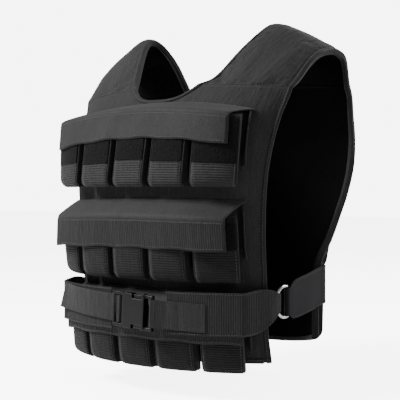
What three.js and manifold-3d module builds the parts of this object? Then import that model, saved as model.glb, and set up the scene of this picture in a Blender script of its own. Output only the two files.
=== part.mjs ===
// Weighted vest: a front and a back panel of padded cloth joined by padded shoulders, with three
// rows of loaded pockets on each panel, cover flaps, and a waist belt with two side rings.
// Millimetres, +Z up. The vest faces -Y and the wearer's left is +X. The origin is midway
// between the shoulders, at the height of the underside of the shoulder pads.
import * as THREE from "three";
import { mergeVertices } from "three/addons/utils/BufferGeometryUtils.js";
import Module from "manifold-3d";

const wasm = await Module();
wasm.setup();

// Driving sizes of the body
const drop = 452; // shoulder line down to the front hem
const halfWidth = 205; // centre line out to the edge of a shoulder
const frontDepth = 165; // shoulder line forward to the outer face of the front panel
const backDepth = 165; // shoulder line back to the outer face of the back panel
const panelWall = 7; // two cloth faces with thin padding between them
const padCrown = 3; // how far a shoulder pad swells past the panel's wall on each face
const shoulderCrest = 8; // how far the top of a shoulder rises above a straight line across it
const gap = 0.3; // clearance between neighbouring pieces

// Driving sizes of the pockets and their flaps
const pocketWidth = 54;
const frontPockets = 5; // in each row
const backPockets = 4;
const frontPitch = 63; // from the middle of a pocket to the next
const backPitch = 60;
const pocketDepth = 27;
const pocketBottomRound = 12; // radius of the front lower edge
const pocketSideRound = 4; // radius of the front upright edges
const pocketFrontClear = 4; // top of a pocket's front below the fold of its flap
const pocketBackClear = 5; // top of a pocket's back below its flap's seam
const flapWall = 2;
const flapClear = 1.6; // between the pocket fronts and the flap
const flapRootOverhang = 14; // the seam that holds a flap, past the end of its row
const gussetWall = 1.6;
const gussetClear = 8; // between the last pocket and the gusset at the flap's end
const gussetDrop = 78; // how far the end gusset hangs below the flap's seam
const gussetDepth = 15; // how far it stands out from the panel

// Driving sizes of the edges, the belt and its hardware
const bindingWall = 0.9;
const bindingLeg = 5.5; // width of the tape on each face
const bindingClear = 2; // between the tape and a pocket above it
const tapeGap = 0.98; // between the fold of the tape and the edge in it
const tapeLift = 1.42; // between the tape's legs and the curved faces that they lie on
const beltWidth = 58;
const beltWall = 1.8;
const beltEndWidth = 25; // where the belt is folded round its ring
const beltStandOff = 1; // between the belt and the flap that it crosses
const beltInset = 8; // a belt's inner end, out from the end of the buckle
const beltReturn = 10; // stretch of the belt behind its fold
const beltCornerLead = 22; // from the belt's corner forward of the side edge
const ringRadius = 21.5; // to the middle of the wire
const ringWire = 4;
const ringStandOff = 6; // ring's plane outside the panel's side edge
const strapWidth = 56;
const strapFoldWidth = 37;
const strapSewnLength = 30; // stretch that lies on the back panel
const strapTaper = 12; // from the fold to where the strap is nearly its full width
const strapReturn = 18; // stretch of the strap behind its fold
const webbingWidth = 38;
const webbingWall = 1.5;
const buckleHeight = 49;
const buckleDepth = 11;
const buckleLength = 74;
const buckleOffCentre = 17; // middle of the buckle towards the wearer's left
const buckleWall = 2;
const buckleBar = 4;
const buckleCornerRound = 3;
const buckleTilt = THREE.MathUtils.degToRad(3);
const freeEndReach = 158; // how far the free end of the webbing lies from the centre line

const table = (names, rows) =>
  rows.map((row) => Object.fromEntries(names.map((name, i) => [name, row[i]])));

// Panel lines: level is a share of drop; centre and edgeBack are shares of the panel's depth;
// edgeOut is a share of halfWidth; corner is the power that sharpens the turn to the side.
const lineNames = ["level", "centre", "edgeOut", "edgeBack", "corner"];
const frontLines = table(lineNames, [
  [0.14, 0.63, 0.955, 0.375, 4],
  [0.19, 0.735, 0.93, 0.42, 4.5],
  [0.25, 0.87, 0.9, 0.485, 6],
  [0.35, 0.955, 0.868, 0.56, 7],
  [0.45, 0.988, 0.849, 0.6, 6.5],
  [0.6, 0.994, 0.84, 0.612, 4.5],
  [0.75, 0.957, 0.837, 0.585, 3.6],
  [0.9, 0.925, 0.828, 0.55, 2.5],
  [1.0, 0.885, 0.85, 0.535, 2.4],
]);
const backLines = table(lineNames, [
  [0.1, 0.33, 0.975, 0.44, 3],
  [0.16, 0.47, 0.955, 0.575, 3],
  [0.223, 0.62, 0.927, 0.665, 3.5],
  [0.305, 0.78, 0.902, 0.755, 5],
  [0.39, 0.885, 0.893, 0.755, 6],
  [0.475, 0.945, 0.883, 0.68, 5],
  [0.56, 0.95, 0.868, 0.56, 4.5],
  [0.64, 0.92, 0.854, 0.43, 4],
  [0.7, 0.88, 0.842, 0.3, 3.6],
  [0.76, 0.845, 0.836, 0.25, 3.5],
  [0.85, 0.805, 0.835, 0.242, 3.4],
  [1.0, 0.79, 0.835, 0.24, 3.4],
]);
const roundShare = 0.3; // part of a panel's turn that is spread over its whole width

// Rows of pockets: bottom, root, fold and low are shares of drop at the centre line; root is the
// flap's seam, fold its front edge and low its lower edge. arch is how far the flap's ends droop,
// topOut the pockets' depth at the fold and flare how far the flap's ends stand off, in shares
// of pocketDepth. reach is the flap's half length as a share of its row's.
const rowNames = ["bottom", "root", "fold", "low", "arch", "topOut", "flare", "reach"];
const frontRows = table(rowNames, [
  [0.4646, 0.199, 0.2235, 0.3164, 0.5, 1.35, 0.15, 0.92],
  [0.75, 0.5022, 0.5531, 0.6527, 0.11, 1, 0.5, 0.91],
  [1.0243, 0.7832, 0.8363, 0.9314, 0.11, 1, 0.2, 1],
]);
const backRows = table(rowNames, [
  [0.4602, 0.2124, 0.2434, 0.3385, 0.3, 1, 0.1, 0.92],
  [0.7434, 0.5, 0.5487, 0.6482, 0.11, 1, 0.3, 0.92],
  [0.9867, 0.7655, 0.8142, 0.9115, 0.11, 1, 0.05, 0.92],
]);

// One panel of the vest. seamShare is where the neck meets the shoulder seam, as a share of the
// half width there; neck, seamIn, seamOut and hem are levels; hemLift raises the hem's corners.
const front = {
  name: "front", facing: -1, depth: frontDepth, lines: frontLines, rows: frontRows,
  pockets: frontPockets, pitch: frontPitch,
  seamShare: 0.308, neck: 0.19, seamIn: 0.1438, seamOut: 0.1637, hem: 1, hemLift: 0,
};
const back = {
  name: "back", facing: 1, depth: backDepth, lines: backLines, rows: backRows,
  pockets: backPockets, pitch: backPitch,
  seamShare: 0.434, neck: 0.157, seamIn: 0.115, seamOut: 0.128, hem: 1.01, hemLift: 0.055,
};

// Shoulder sections from the front seam to the back seam: x is a share of halfWidth, y of the
// depth on its side and z of drop, for the neck edge (in) and the arm edge (out). crest is a
// share of shoulderCrest, bend how much of the panel's turn is left, pad a share of padCrown.
const shoulderSections = table(
  ["along", "inX", "inY", "inZ", "outX", "outY", "outZ", "crest", "bend", "pad"],
  [
    [0.0, 0.293, -0.618, -0.144, 0.949, -0.388, -0.164, 0.0, 1.0, 0.0],
    [0.2, 0.371, -0.503, -0.117, 0.961, -0.297, -0.13, 0.2, 0.8, 1.0],
    [0.4, 0.463, -0.297, -0.029, 0.978, -0.17, -0.08, 0.6, 0.5, 1.0],
    [0.55, 0.527, -0.133, 0.029, 0.99, -0.03, -0.047, 0.9, 0.3, 1.0],
    [0.7, 0.556, 0.0, 0.055, 0.998, 0.135, -0.031, 1.0, 0.2, 1.0],
    [0.8, 0.551, 0.158, 0.042, 0.995, 0.26, -0.029, 0.9, 0.2, 0.9],
    [0.9, 0.5, 0.29, -0.018, 0.985, 0.4, -0.048, 0.4, 0.5, 0.0],
    [1.0, 0.42, 0.37, -0.115, 0.966, 0.497, -0.128, 0.0, 1.0, 0.0],
  ],
);

const shareFrom = (low, high, share) => low + (high - low) * share;
const steps = (count) => Array.from({ length: count + 1 }, (_, i) => i / count);
const vec = (x, y, z) => new THREE.Vector3(x, y, z);

// Reads one column of a table at a place along its first column, as a smooth curve
function read(rows, column, place) {
  const key = Object.keys(rows[0])[0];
  const last = rows.length - 1;
  let i = 0;
  while (i < last - 1 && place > rows[i + 1][key]) i += 1;
  const slope = (a, b) => (rows[b][column] - rows[a][column]) / (rows[b][key] - rows[a][key]);
  const tangent = (k) => slope(Math.max(k - 1, 0), Math.min(k + 1, last));
  const [from, to] = [rows[i], rows[i + 1]];
  const span = to[key] - from[key];
  const t = (place - from[key]) / span;
  if (t < 0) return from[column] + tangent(i) * (place - from[key]);
  if (t > 1) return to[column] + tangent(i + 1) * (place - to[key]);
  const [t2, t3] = [t * t, t * t * t];
  return (2 * t3 - 3 * t2 + 1) * from[column] + (t3 - 2 * t2 + t) * span * tangent(i)
    + (3 * t2 - 2 * t3) * to[column] + (t3 - t2) * span * tangent(i + 1);
}

const bendShare = (across, corner) =>
  roundShare * across ** 2 + (1 - roundShare) * across ** corner;

// Outer face of a panel: across is -1 to 1 from edge to edge, level a share of drop
function panelPoint(panel, across, level) {
  const centre = read(panel.lines, "centre", level);
  const edge = read(panel.lines, "edgeBack", level);
  const bend = bendShare(Math.abs(across), read(panel.lines, "corner", level));
  return vec(
    across * read(panel.lines, "edgeOut", level) * halfWidth,
    panel.facing * panel.depth * shareFrom(centre, edge, bend),
    -level * drop,
  );
}

function panelNormal(panel, across, level) {
  const step = 0.004;
  const side = panelPoint(panel, across + step, level).sub(panelPoint(panel, across - step, level));
  const fall = panelPoint(panel, across, level + step).sub(panelPoint(panel, across, level - step));
  return side.cross(fall).multiplyScalar(panel.facing).normalize();
}

function panelOutward(panel, across, level) {
  return panelNormal(panel, across, level).setZ(0).normalize();
}

// Share across a panel that lies a given length from the centre line along its face
function acrossAt(panel, length, level) {
  const stride = 0.02;
  let [across, walked] = [0, 0];
  let here = panelPoint(panel, 0, level);
  for (;;) {
    const next = panelPoint(panel, across + stride, level);
    const step = next.distanceTo(here);
    if (walked + step >= Math.abs(length)) {
      return Math.sign(length) * (across + (stride * (Math.abs(length) - walked)) / step);
    }
    across += stride;
    walked += step;
    here = next;
  }
}

const neckLevel = (panel, across) =>
  shareFrom(panel.neck, panel.seamIn, (Math.abs(across) / panel.seamShare) ** 3);
const seamLevel = (panel, share) => shareFrom(panel.seamIn, panel.seamOut, share);
const hemLevel = (panel, across) => panel.hem - panel.hemLift * Math.abs(across) ** 2.5;

function topLevel(panel, across) {
  const share = (Math.abs(across) - panel.seamShare) / (1 - panel.seamShare);
  return share < 0 ? neckLevel(panel, across) : seamLevel(panel, share);
}

// Outer face of the left shoulder: along runs from the front seam to the back one, across from
// the neck edge to the arm edge
function shoulderSheet(along, across) {
  const part = (column) => read(shoulderSections, column, along);
  const depth = part("inY") < 0 ? frontDepth : backDepth;
  const turn = shareFrom(across, bendShare(Math.abs(across), 4), part("bend"));
  const crest = shoulderCrest * part("crest") * Math.sin(Math.PI * Math.max(across, 0) ** 0.6);
  return vec(
    halfWidth * shareFrom(part("inX"), part("outX"), across),
    depth * shareFrom(part("inY"), part("outY"), turn),
    drop * shareFrom(part("inZ"), part("outZ"), across) + crest,
  );
}

const seamPoint = (panel, share) =>
  panelPoint(panel, shareFrom(panel.seamShare, 1, share), seamLevel(panel, share));

// How strongly a place on a shoulder is drawn to the panels' seams in front and behind
const seamReach = 0.3;
const seamPull = (along) => [[front, 0, along], [back, 1, 1 - along]].map(
  ([panel, end, distance]) => [panel, end, Math.max(0, 1 - distance / seamReach) ** 2]);

// The same, drawn on to the panels' seams at both ends
function shoulderPoint(along, across) {
  const point = shoulderSheet(along, across);
  for (const [panel, end, pull] of seamPull(along)) {
    point.addScaledVector(seamPoint(panel, across).sub(shoulderSheet(end, across)), pull);
  }
  return point;
}

function shoulderNormal(along, across) {
  const step = 0.01;
  const side = shoulderPoint(along, across + step).sub(shoulderPoint(along, across - step));
  const run = shoulderPoint(along + step, across).sub(shoulderPoint(along - step, across));
  const normal = side.cross(run).normalize();
  for (const [panel, , pull] of seamPull(along)) {
    const share = shareFrom(panel.seamShare, 1, across);
    normal.lerp(panelNormal(panel, share, seamLevel(panel, across)), pull);
  }
  return normal.normalize();
}

const mirrored = (point, side) => vec(point.x * side, point.y, point.z);

// Closed body from points and triangles, with its faces pointing out
function closedBody(points, faces) {
  let volume = 0;
  for (const [a, b, c] of faces) volume += points[a].dot(points[b].clone().cross(points[c]));
  const index = faces.flatMap(([a, b, c]) => (volume > 0 ? [a, b, c] : [a, c, b]));
  const geometry = new THREE.BufferGeometry();
  geometry.setAttribute("position", new THREE.Float32BufferAttribute(
    points.flatMap((p) => [p.x, p.y, p.z]), 3));
  geometry.setIndex(index);
  return geometry;
}

const quad = (a, b, c, d) => [[a, b, c], [a, c, d]];

// Wall between two grids of points of the same size
function wallBody({ outer, inner }) {
  const [rows, columns] = [outer.length, outer[0].length];
  const points = [...outer.flat(), ...inner.flat()];
  const at = (layer, r, c) => layer * rows * columns + r * columns + c;
  const faces = [];
  for (let r = 0; r < rows - 1; r += 1) {
    for (let c = 0; c < columns - 1; c += 1) {
      faces.push(...quad(at(0, r, c), at(0, r, c + 1), at(0, r + 1, c + 1), at(0, r + 1, c)));
      faces.push(...quad(at(1, r, c), at(1, r + 1, c), at(1, r + 1, c + 1), at(1, r, c + 1)));
    }
  }
  for (let r = 0; r < rows - 1; r += 1) {
    const c = columns - 1;
    faces.push(...quad(at(0, r, 0), at(0, r + 1, 0), at(1, r + 1, 0), at(1, r, 0)));
    faces.push(...quad(at(0, r, c), at(1, r, c), at(1, r + 1, c), at(0, r + 1, c)));
  }
  for (let c = 0; c < columns - 1; c += 1) {
    const r = rows - 1;
    faces.push(...quad(at(0, 0, c), at(1, 0, c), at(1, 0, c + 1), at(0, 0, c + 1)));
    faces.push(...quad(at(0, r, c), at(0, r, c + 1), at(1, r, c + 1), at(1, r, c)));
  }
  return closedBody(points, faces);
}

// Body through a run of like sections; section is the outline in its own plane, for the ends
function loftBody(sections, section, closed = false) {
  const count = sections[0].length;
  const points = sections.flat();
  const faces = [];
  const runs = closed ? sections.length : sections.length - 1;
  for (let i = 0; i < runs; i += 1) {
    const next = (i + 1) % sections.length;
    for (let j = 0; j < count; j += 1) {
      const k = (j + 1) % count;
      faces.push(...quad(i * count + j, i * count + k, next * count + k, next * count + j));
    }
  }
  if (!closed) {
    const last = (sections.length - 1) * count;
    for (const [a, b, c] of THREE.ShapeUtils.triangulateShape(section, [])) {
      faces.push([a, c, b], [last + a, last + b, last + c]);
    }
    return closedBody(points, orientCaps(faces, section));
  }
  return closedBody(points, faces);
}

// End caps follow the sides' direction: a clockwise outline turns them over
function orientCaps(faces, section) {
  if (THREE.ShapeUtils.area(section) > 0) return faces;
  const sides = faces.length - 2 * (section.length - 2);
  return faces.map(([a, b, c], i) => (i < sides ? [a, b, c] : [a, c, b]));
}

// Solids that are joined or cut
function toManifold(geometry) {
  const bare = geometry.clone();
  bare.deleteAttribute("normal");
  bare.deleteAttribute("uv");
  const merged = mergeVertices(bare, 1e-4);
  return new wasm.Manifold(new wasm.Mesh({
    numProp: 3,
    vertProperties: new Float32Array(merged.attributes.position.array),
    triVerts: new Uint32Array(merged.index.array),
  }));
}

function fromManifold(manifold) {
  const mesh = manifold.getMesh();
  const geometry = new THREE.BufferGeometry();
  geometry.setAttribute("position", new THREE.BufferAttribute(mesh.vertProperties, 3));
  geometry.setIndex(new THREE.BufferAttribute(mesh.triVerts, 1));
  return geometry;
}

const joined = (first, ...others) =>
  fromManifold(others.reduce((sum, other) => sum.add(toManifold(other)), toManifold(first)));
const cut = (first, ...others) =>
  fromManifold(others.reduce((rest, other) => rest.subtract(toManifold(other)), toManifold(first)));

// Finishes of the pieces
const finish = (color, roughness, metalness = 0) =>
  new THREE.MeshStandardMaterial({ color, roughness, metalness });
const finishes = {
  cloth: finish(0x1d1d20, 0.9),
  flap: finish(0x242427, 0.88),
  webbing: finish(0x28282b, 0.85),
  strap: finish(0x25262c, 0.85),
  tape: finish(0x3a3a3e, 0.8),
  buckle: finish(0x141416, 0.45),
  ring: finish(0xc9cacd, 0.25, 1),
};

const vest = new THREE.Group();

function addPiece(name, geometry, material) {
  geometry.computeVertexNormals();
  const piece = new THREE.Mesh(geometry, material);
  piece.name = name;
  vest.add(piece);
  return piece;
}

// Panels
const panelRows = 12;
const panelRowShare = (step) => step ** 0.85;
const neckShares = [0, 0.4, 0.7, 0.88];
const seamShares = [0, 0.14, 0.34, 0.56, 0.78, 0.93, 1];

function panelColumns(panel) {
  const inner = neckShares.map((share) => share * panel.seamShare);
  const outer = seamShares.map((share) => shareFrom(panel.seamShare, 1, share));
  const half = [...inner, ...outer];
  return [...half.slice(1).reverse().map((across) => -across), ...half];
}

// Grid of points on both faces of a panel, from the hem up and from edge to edge
function panelGrid(panel) {
  const columns = panelColumns(panel);
  const rows = steps(panelRows).map((step) => columns.map((across) => [
    across, shareFrom(hemLevel(panel, across), topLevel(panel, across), panelRowShare(step))]));
  const outer = rows.map((row) => row.map((place) => panelPoint(panel, ...place)));
  const inner = rows.map((row, r) => row.map((place, c) =>
    outer[r][c].clone().addScaledVector(panelNormal(panel, ...place), -panelWall)));
  return { outer, inner };
}

// Shoulders: padded as far as the step behind the ridge, and plain cloth from there to the back
const shoulderStations = [0, 0.1, 0.24, 0.38, 0.5, 0.6, 0.69, 0.77, 0.83, 0.87, 1];

function shoulderThick(along, across) {
  const crown = padCrown * Math.max(0, read(shoulderSections, "pad", along));
  return crown * (1 - Math.abs(2 * across - 1) ** 4);
}

// Grid of points on both faces of a shoulder, from the front seam back and from neck to arm
function shoulderGrid(side) {
  const nudge = gap / (drop * 0.5);
  const [outer, inner] = [[], []];
  for (const station of shoulderStations) {
    const along = Math.min(Math.max(station, nudge), 1 - nudge);
    const faces = seamShares.map((across) => {
      const normal = shoulderNormal(along, across);
      const swell = shoulderThick(along, across);
      const face = shoulderPoint(along, across).addScaledVector(normal, swell);
      const lining = face.clone().addScaledVector(normal, -panelWall - 2 * swell);
      return [face, lining].map((point) => mirrored(point, side));
    });
    outer.push(faces.map(([face]) => face));
    inner.push(faces.map(([, lining]) => lining));
  }
  return { outer, inner };
}

const grids = {
  front: panelGrid(front), back: panelGrid(back), left: shoulderGrid(1), right: shoulderGrid(-1),
};

// Depth of a panel's outer face, as its facets have it, in front of or behind a place (x, z)
function facetDepth(panel, x, z) {
  const { outer } = grids[panel.name];
  let nearest = { miss: Infinity, y: 0 };
  for (let r = 0; r < outer.length - 1; r += 1) {
    for (let c = 0; c < outer[0].length - 1; c += 1) {
      const [a, b, d, e] = [outer[r][c], outer[r][c + 1], outer[r + 1][c + 1], outer[r + 1][c]];
      for (const [p, q, t] of [[a, b, d], [a, d, e]]) {
        const area = (q.x - p.x) * (t.z - p.z) - (t.x - p.x) * (q.z - p.z);
        const v = ((x - p.x) * (t.z - p.z) - (t.x - p.x) * (z - p.z)) / area;
        const w = ((q.x - p.x) * (z - p.z) - (x - p.x) * (q.z - p.z)) / area;
        const miss = Math.max(0, -v, -w, v + w - 1);
        const y = p.y + v * (q.y - p.y) + w * (t.y - p.y);
        if (miss < nearest.miss) nearest = { miss, y };
      }
    }
  }
  return nearest.y;
}

// Moves a grid of points on to a panel so that the sheet between them just clears its facets
function seatedOn(panel, grid) {
  const depth = (point) => panel.facing * facetDepth(panel, point.x, point.z) + gap;
  const seated = grid.map((row) => row.map((point) =>
    point.clone().setY(panel.facing * depth(point))));
  let lift = 0;
  for (let r = 0; r < seated.length; r += 1) {
    for (let c = 0; c < seated[0].length; c += 1) {
      const [right, up] = [Math.min(c + 1, seated[0].length - 1), Math.min(r + 1, seated.length - 1)];
      for (const a of steps(4)) {
        for (const b of steps(4)) {
          const low = seated[r][c].clone().lerp(seated[r][right], a);
          const place = low.lerp(seated[up][c].clone().lerp(seated[up][right], a), b);
          lift = Math.max(lift, depth(place) - panel.facing * place.y);
        }
      }
    }
  }
  return seated.map((row) => row.map((point) => point.add(vec(0, panel.facing * lift, 0))));
}

// Moves a sewn piece off its panel in small steps until the two stand a gap apart
const panelSolids = {
  front: toManifold(wallBody(grids.front)), back: toManifold(wallBody(grids.back)),
};

function movedClear(panel, geometry, way) {
  const stride = gap / 2;
  let solid = toManifold(geometry);
  while (solid.intersect(panelSolids[panel.name]).volume() > 0) {
    solid = solid.translate(way.clone().multiplyScalar(stride).toArray());
  }
  return fromManifold(solid.translate(way.clone().multiplyScalar(stride).toArray()));
}

// Rows of pockets. A place in a row is its length from the centre line along the panel, its
// height z, and its depth as a share of the way from the panel to the pockets' fronts.
const rowReach = (panel) => ((panel.pockets - 1) * panel.pitch + pocketWidth) / 2;
const droop = (panel, row, length) => row.arch * pocketDepth * (length / rowReach(panel)) ** 2;
const lineHeight = (panel, row, line, length) => -row[line] * drop - droop(panel, row, length);

function onFace(panel, length, z, offset) {
  const level = -z / drop;
  const across = acrossAt(panel, length, level);
  return panelPoint(panel, across, level).addScaledVector(panelOutward(panel, across, level), offset);
}

function frontOfRow(panel, row, length, z, extra = 0) {
  const foot = -Math.min(row.bottom, panel.hem) * drop;
  const head = lineHeight(panel, row, "fold", length);
  const low = onFace(panel, length, foot, pocketDepth + extra).setZ(foot);
  const high = onFace(panel, length, head, pocketDepth * row.topOut + extra).setZ(head);
  return low.lerp(high, (z - foot) / (head - foot)).setZ(z);
}

function placeInRow(panel, row, length, z, share) {
  return onFace(panel, length, z, 0).lerp(frontOfRow(panel, row, length, z), share);
}

function pocketBody(panel, row, place) {
  const middle = (place - (panel.pockets + 1) / 2) * panel.pitch;
  const half = pocketWidth / 2;
  const foot = -row.bottom * drop;
  const round = pocketBottomRound / pocketDepth;
  const turn = Math.SQRT1_2;
  const stand = (tapeLift + bindingWall + 5 * gap) / pocketDepth;
  const tapeTop = -hemLevel(panel, 1) * drop + bindingLeg + bindingClear;
  const backFoot = Math.max(foot + pocketBottomRound / 2, tapeTop);
  const lengths = [-half, -half + pocketSideRound, 0, half - pocketSideRound, half]
    .map((offset) => middle + offset);
  const backHead = (length) => lineHeight(panel, row, "root", length) - pocketBackClear;
  const backs = seatedOn(panel, [0, 0.4, 0.7, 1].map((share) => lengths.map((length) =>
    onFace(panel, length, shareFrom(backFoot, backHead(length), share), 0))));
  const profiles = lengths.map((length, i) => {
    const face = i === 0 || i === lengths.length - 1 ? 1 - pocketSideRound / pocketDepth : 1;
    const corner = face - round;
    return [
      [stand, backFoot - bindingClear],
      [stand, foot],
      [corner, foot],
      [corner + round * turn, foot + pocketBottomRound * (1 - turn)],
      [face, foot + pocketBottomRound],
      [face, lineHeight(panel, row, "fold", length) - pocketFrontClear],
    ];
  });
  const sections = profiles.map((profile, i) => [
    ...backs.map((line) => line[i]).reverse(),
    ...profile.map(([share, z]) => placeInRow(panel, row, lengths[i], z, share)),
  ]);
  const outline = [...backs.map((line) => [0, line[0].z]).reverse(), ...profiles[0]]
    .map(([share, z]) => new THREE.Vector2(share * pocketDepth, z));
  const level = -shareFrom(foot, backHead(middle), 0.5) / drop;
  const way = panelOutward(panel, acrossAt(panel, middle, level), level);
  return movedClear(panel, loftBody(sections, outline), way);
}

// Flaps: sewn to the panel at the root, folded over the pockets and hanging in front of them,
// with a gusset at each end
const flapColumns = 12;
const flapBend = { seam: 0.92, front: 0.06, lining: 0.1 }; // where the fold starts and ends
const flapOffset = (row, share, fall) =>
  flapClear + flapWall + row.flare * pocketDepth * share ** 2 * (0.5 + 0.5 * fall);

function flapFront(panel, row, share, fall, inset) {
  const length = share * row.reach * rowReach(panel);
  const z = shareFrom(lineHeight(panel, row, "fold", length), lineHeight(panel, row, "low", length), fall);
  return frontOfRow(panel, row, length, z, flapOffset(row, Math.abs(share), fall) - inset);
}

function flapRoot(panel, row, share, inset) {
  const length = share * (rowReach(panel) + flapRootOverhang);
  return onFace(panel, length, lineHeight(panel, row, "root", length) - inset, 0);
}

function flapBody(panel, row) {
  const shares = steps(flapColumns).map((step) => 2 * step - 1);
  const roots = seatedOn(panel, [flapWall, 0].map((inset) =>
    shares.map((share) => flapRoot(panel, row, share, inset))));
  const sections = shares.map((share, i) => {
    const [under, root] = [roots[0][i], roots[1][i]];
    const fold = root.clone().lerp(flapFront(panel, row, share, 0, 0), flapBend.seam);
    return [
      root, fold,
      flapFront(panel, row, share, flapBend.front, 0), flapFront(panel, row, share, 1, 0),
      flapFront(panel, row, share, 1, flapWall),
      flapFront(panel, row, share, flapBend.lining, flapWall),
      fold.clone().setZ(fold.z - flapWall), under,
    ];
  });
  const outline = sections[flapColumns / 2].map((p) => new THREE.Vector2(p.y, p.z));
  const gussets = [-1, 1].map((side) => gussetBody(panel, row, side));
  return movedClear(panel, joined(loftBody(sections, outline), ...gussets), vec(0, panel.facing, 0));
}

// End gusset of a flap: a narrow sheet that hangs from the end of its root beside the pockets
function gussetBody(panel, row, side) {
  const inner = rowReach(panel) + gussetClear;
  const rootZ = lineHeight(panel, row, "root", inner);
  const fall = rootZ - lineHeight(panel, row, "fold", inner);
  const depth = gussetDepth / pocketDepth;
  const [head, foot] = [rootZ - flapWall / 2, rootZ - gussetDrop];
  const lengths = [inner, inner + gussetWall];
  const backs = seatedOn(panel, [0, 0.5, 1].map((share) => lengths.map((length) =>
    onFace(panel, side * length, shareFrom(foot, head, share), 0))));
  const sections = lengths.map((length, i) => [
    ...backs.map((line) => line[i]).reverse(),
    placeInRow(panel, row, side * length, foot, depth),
    placeInRow(panel, row, side * length, head - fall * depth, depth),
  ]);
  const outline = sections[0].map((p) => new THREE.Vector2(p.y, p.z));
  return loftBody(sections, outline);
}

// Edge tape: a channel folded over the edge of a panel or shoulder. A spot on an edge holds the
// edge's points on both faces and, for each, the next point in from the edge.
function edgeSpot({ outer, inner }, [row, column], [rowIn, columnIn]) {
  return {
    faces: [outer[row][column], inner[row][column]],
    inward: [outer[rowIn][columnIn], inner[rowIn][columnIn]],
  };
}

// Outline of the tape in its own plane, only to share out the triangles of its ends
const tapeOutline = [[6, 2], [-2, 2], [-2, -2], [6, -2], [6, -1], [-1, -1], [-1, 1], [6, 1]]
  .map(([x, y]) => new THREE.Vector2(x, y));

function tapeSection(spots, i, closed) {
  const count = spots.length;
  const near = (k) => spots[closed ? (k + count) % count : Math.min(Math.max(k, 0), count - 1)];
  const tangent = near(i + 1).faces[0].clone().sub(near(i - 1).faces[0]).normalize();
  const [face, lining] = spots[i].faces;
  const through = face.clone().sub(lining).normalize();
  const inward = spots[i].inward.map((point, k) => {
    const way = point.clone().sub(spots[i].faces[k]);
    return way.addScaledVector(tangent, -way.dot(tangent)).normalize();
  });
  const [past, high] = [-tapeGap - bindingWall, tapeLift + bindingWall];
  const spot = (k, reach, lift) => spots[i].faces[k].clone()
    .addScaledVector(inward[k], reach).addScaledVector(through, k ? -lift : lift);
  return [
    spot(0, bindingLeg, high), spot(0, past, high), spot(1, past, high),
    spot(1, bindingLeg, high), spot(1, bindingLeg, tapeLift), spot(1, -tapeGap, tapeLift),
    spot(0, -tapeGap, tapeLift), spot(0, bindingLeg, tapeLift),
  ];
}

const tapeBody = (spots, closed = false) =>
  loftBody(spots.map((_, i) => tapeSection(spots, i, closed)), tapeOutline, closed);

function armholeTape(name, side) {
  const rows = [...Array(panelRows + 1).keys()];
  const column = side > 0 ? panelColumns(front).length - 1 : 0;
  const upright = (panel) => rows.map((row) =>
    edgeSpot(grids[panel], [row, column], [row, column - side]));
  const arm = seamShares.length - 1;
  const over = [...shoulderStations.keys()].map((row) =>
    edgeSpot(grids[name], [row, arm], [row, arm - 1]));
  return tapeBody([...upright("front"), ...over, ...upright("back").reverse()]);
}

function neckTape() {
  const middle = (panelColumns(front).length - 1) / 2;
  const reach = neckShares.length;
  const columns = steps(2 * reach).map((share) => middle + reach * (2 * share - 1));
  const across = (panel) => columns.map((column) =>
    edgeSpot(grids[panel], [panelRows, column], [panelRows - 1, column]));
  const over = (name) => [...shoulderStations.keys()].map((row) =>
    edgeSpot(grids[name], [row, 0], [row, 1]));
  return tapeBody(
    [...across("front"), ...over("left"), ...across("back").reverse(), ...over("right").reverse()],
    true);
}

function hemTape(panel) {
  const columns = [...panelColumns(panel).keys()].slice(1, -1);
  return tapeBody(columns.map((column) => edgeSpot(grids[panel.name], [0, column], [1, column])));
}

// Belts and straps: a band of cloth on edge that follows a path seen from above
function bandBody(stations) {
  const count = stations.length;
  const sections = stations.map(({ x, y, middle, half, wall, lean = 0 }, i) => {
    const [before, after] = [stations[Math.max(i - 1, 0)], stations[Math.min(i + 1, count - 1)]];
    const side = vec(after.y - before.y, before.x - after.x, 0).normalize().multiplyScalar(wall / 2);
    return [[-1, -1], [1, -1], [1, 1], [-1, 1]].map(([a, b]) =>
      vec(x + a * side.x + b * half * lean, y + a * side.y, middle + b * half));
  });
  const outline = [[-1, -1], [1, -1], [1, 1], [-1, 1]].map(([a, b]) => new THREE.Vector2(a, b));
  return loftBody(sections, outline);
}

// Half turn round a bar or wire, seen from above, from the outer layer to the inner one
function foldStations(x, y, radius, heading, shape) {
  return [0, 0.25, 0.5, 0.75, 1].map((share) => {
    const angle = Math.PI * share;
    return {
      x: x + radius * Math.cos(angle), y: y + heading * radius * Math.sin(angle), ...shape };
  });
}

const beltLevel = 0.845; // middles of the belt, the ring and the side strap, in shares of drop
const ringLevel = 0.82;
const strapLevel = 0.781;
const ringAside = 0.27; // the ring's place in the side opening, from the front edge to the back
const [beltZ, ringZ] = [-beltLevel * drop, -ringLevel * drop];
const sideEdge = (panel, level) => panelPoint(panel, 1, level);
const frontEdge = sideEdge(front, ringLevel);
const backEdge = sideEdge(back, ringLevel);
const ringX = frontEdge.x + ringStandOff;
const ringY = shareFrom(frontEdge.y, backEdge.y, ringAside);
const beltRow = front.rows[2];
const flapEnd = beltRow.reach * rowReach(front); // of the flap that the belt crosses
const foldReach = (width) =>
  Math.sqrt((ringRadius - ringWire / 2 - 2 * gap) ** 2 - (width / 2) ** 2);
const foldRadius = (wall) => ringWire / 2 + gap + wall / 2;

function beltOnFlap(length, offset) {
  const share = length / flapEnd;
  const low = beltZ - beltWidth / 2;
  const fold = lineHeight(front, beltRow, "fold", length);
  const fall = (low - fold) / (lineHeight(front, beltRow, "low", length) - fold);
  const extra = flapOffset(beltRow, Math.abs(share), fall) + beltStandOff + offset;
  const lowPoint = frontOfRow(front, beltRow, length, low, extra);
  const foldPoint = frontOfRow(front, beltRow, length, fold, extra);
  return lowPoint.y < foldPoint.y ? lowPoint : foldPoint;
}

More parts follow.
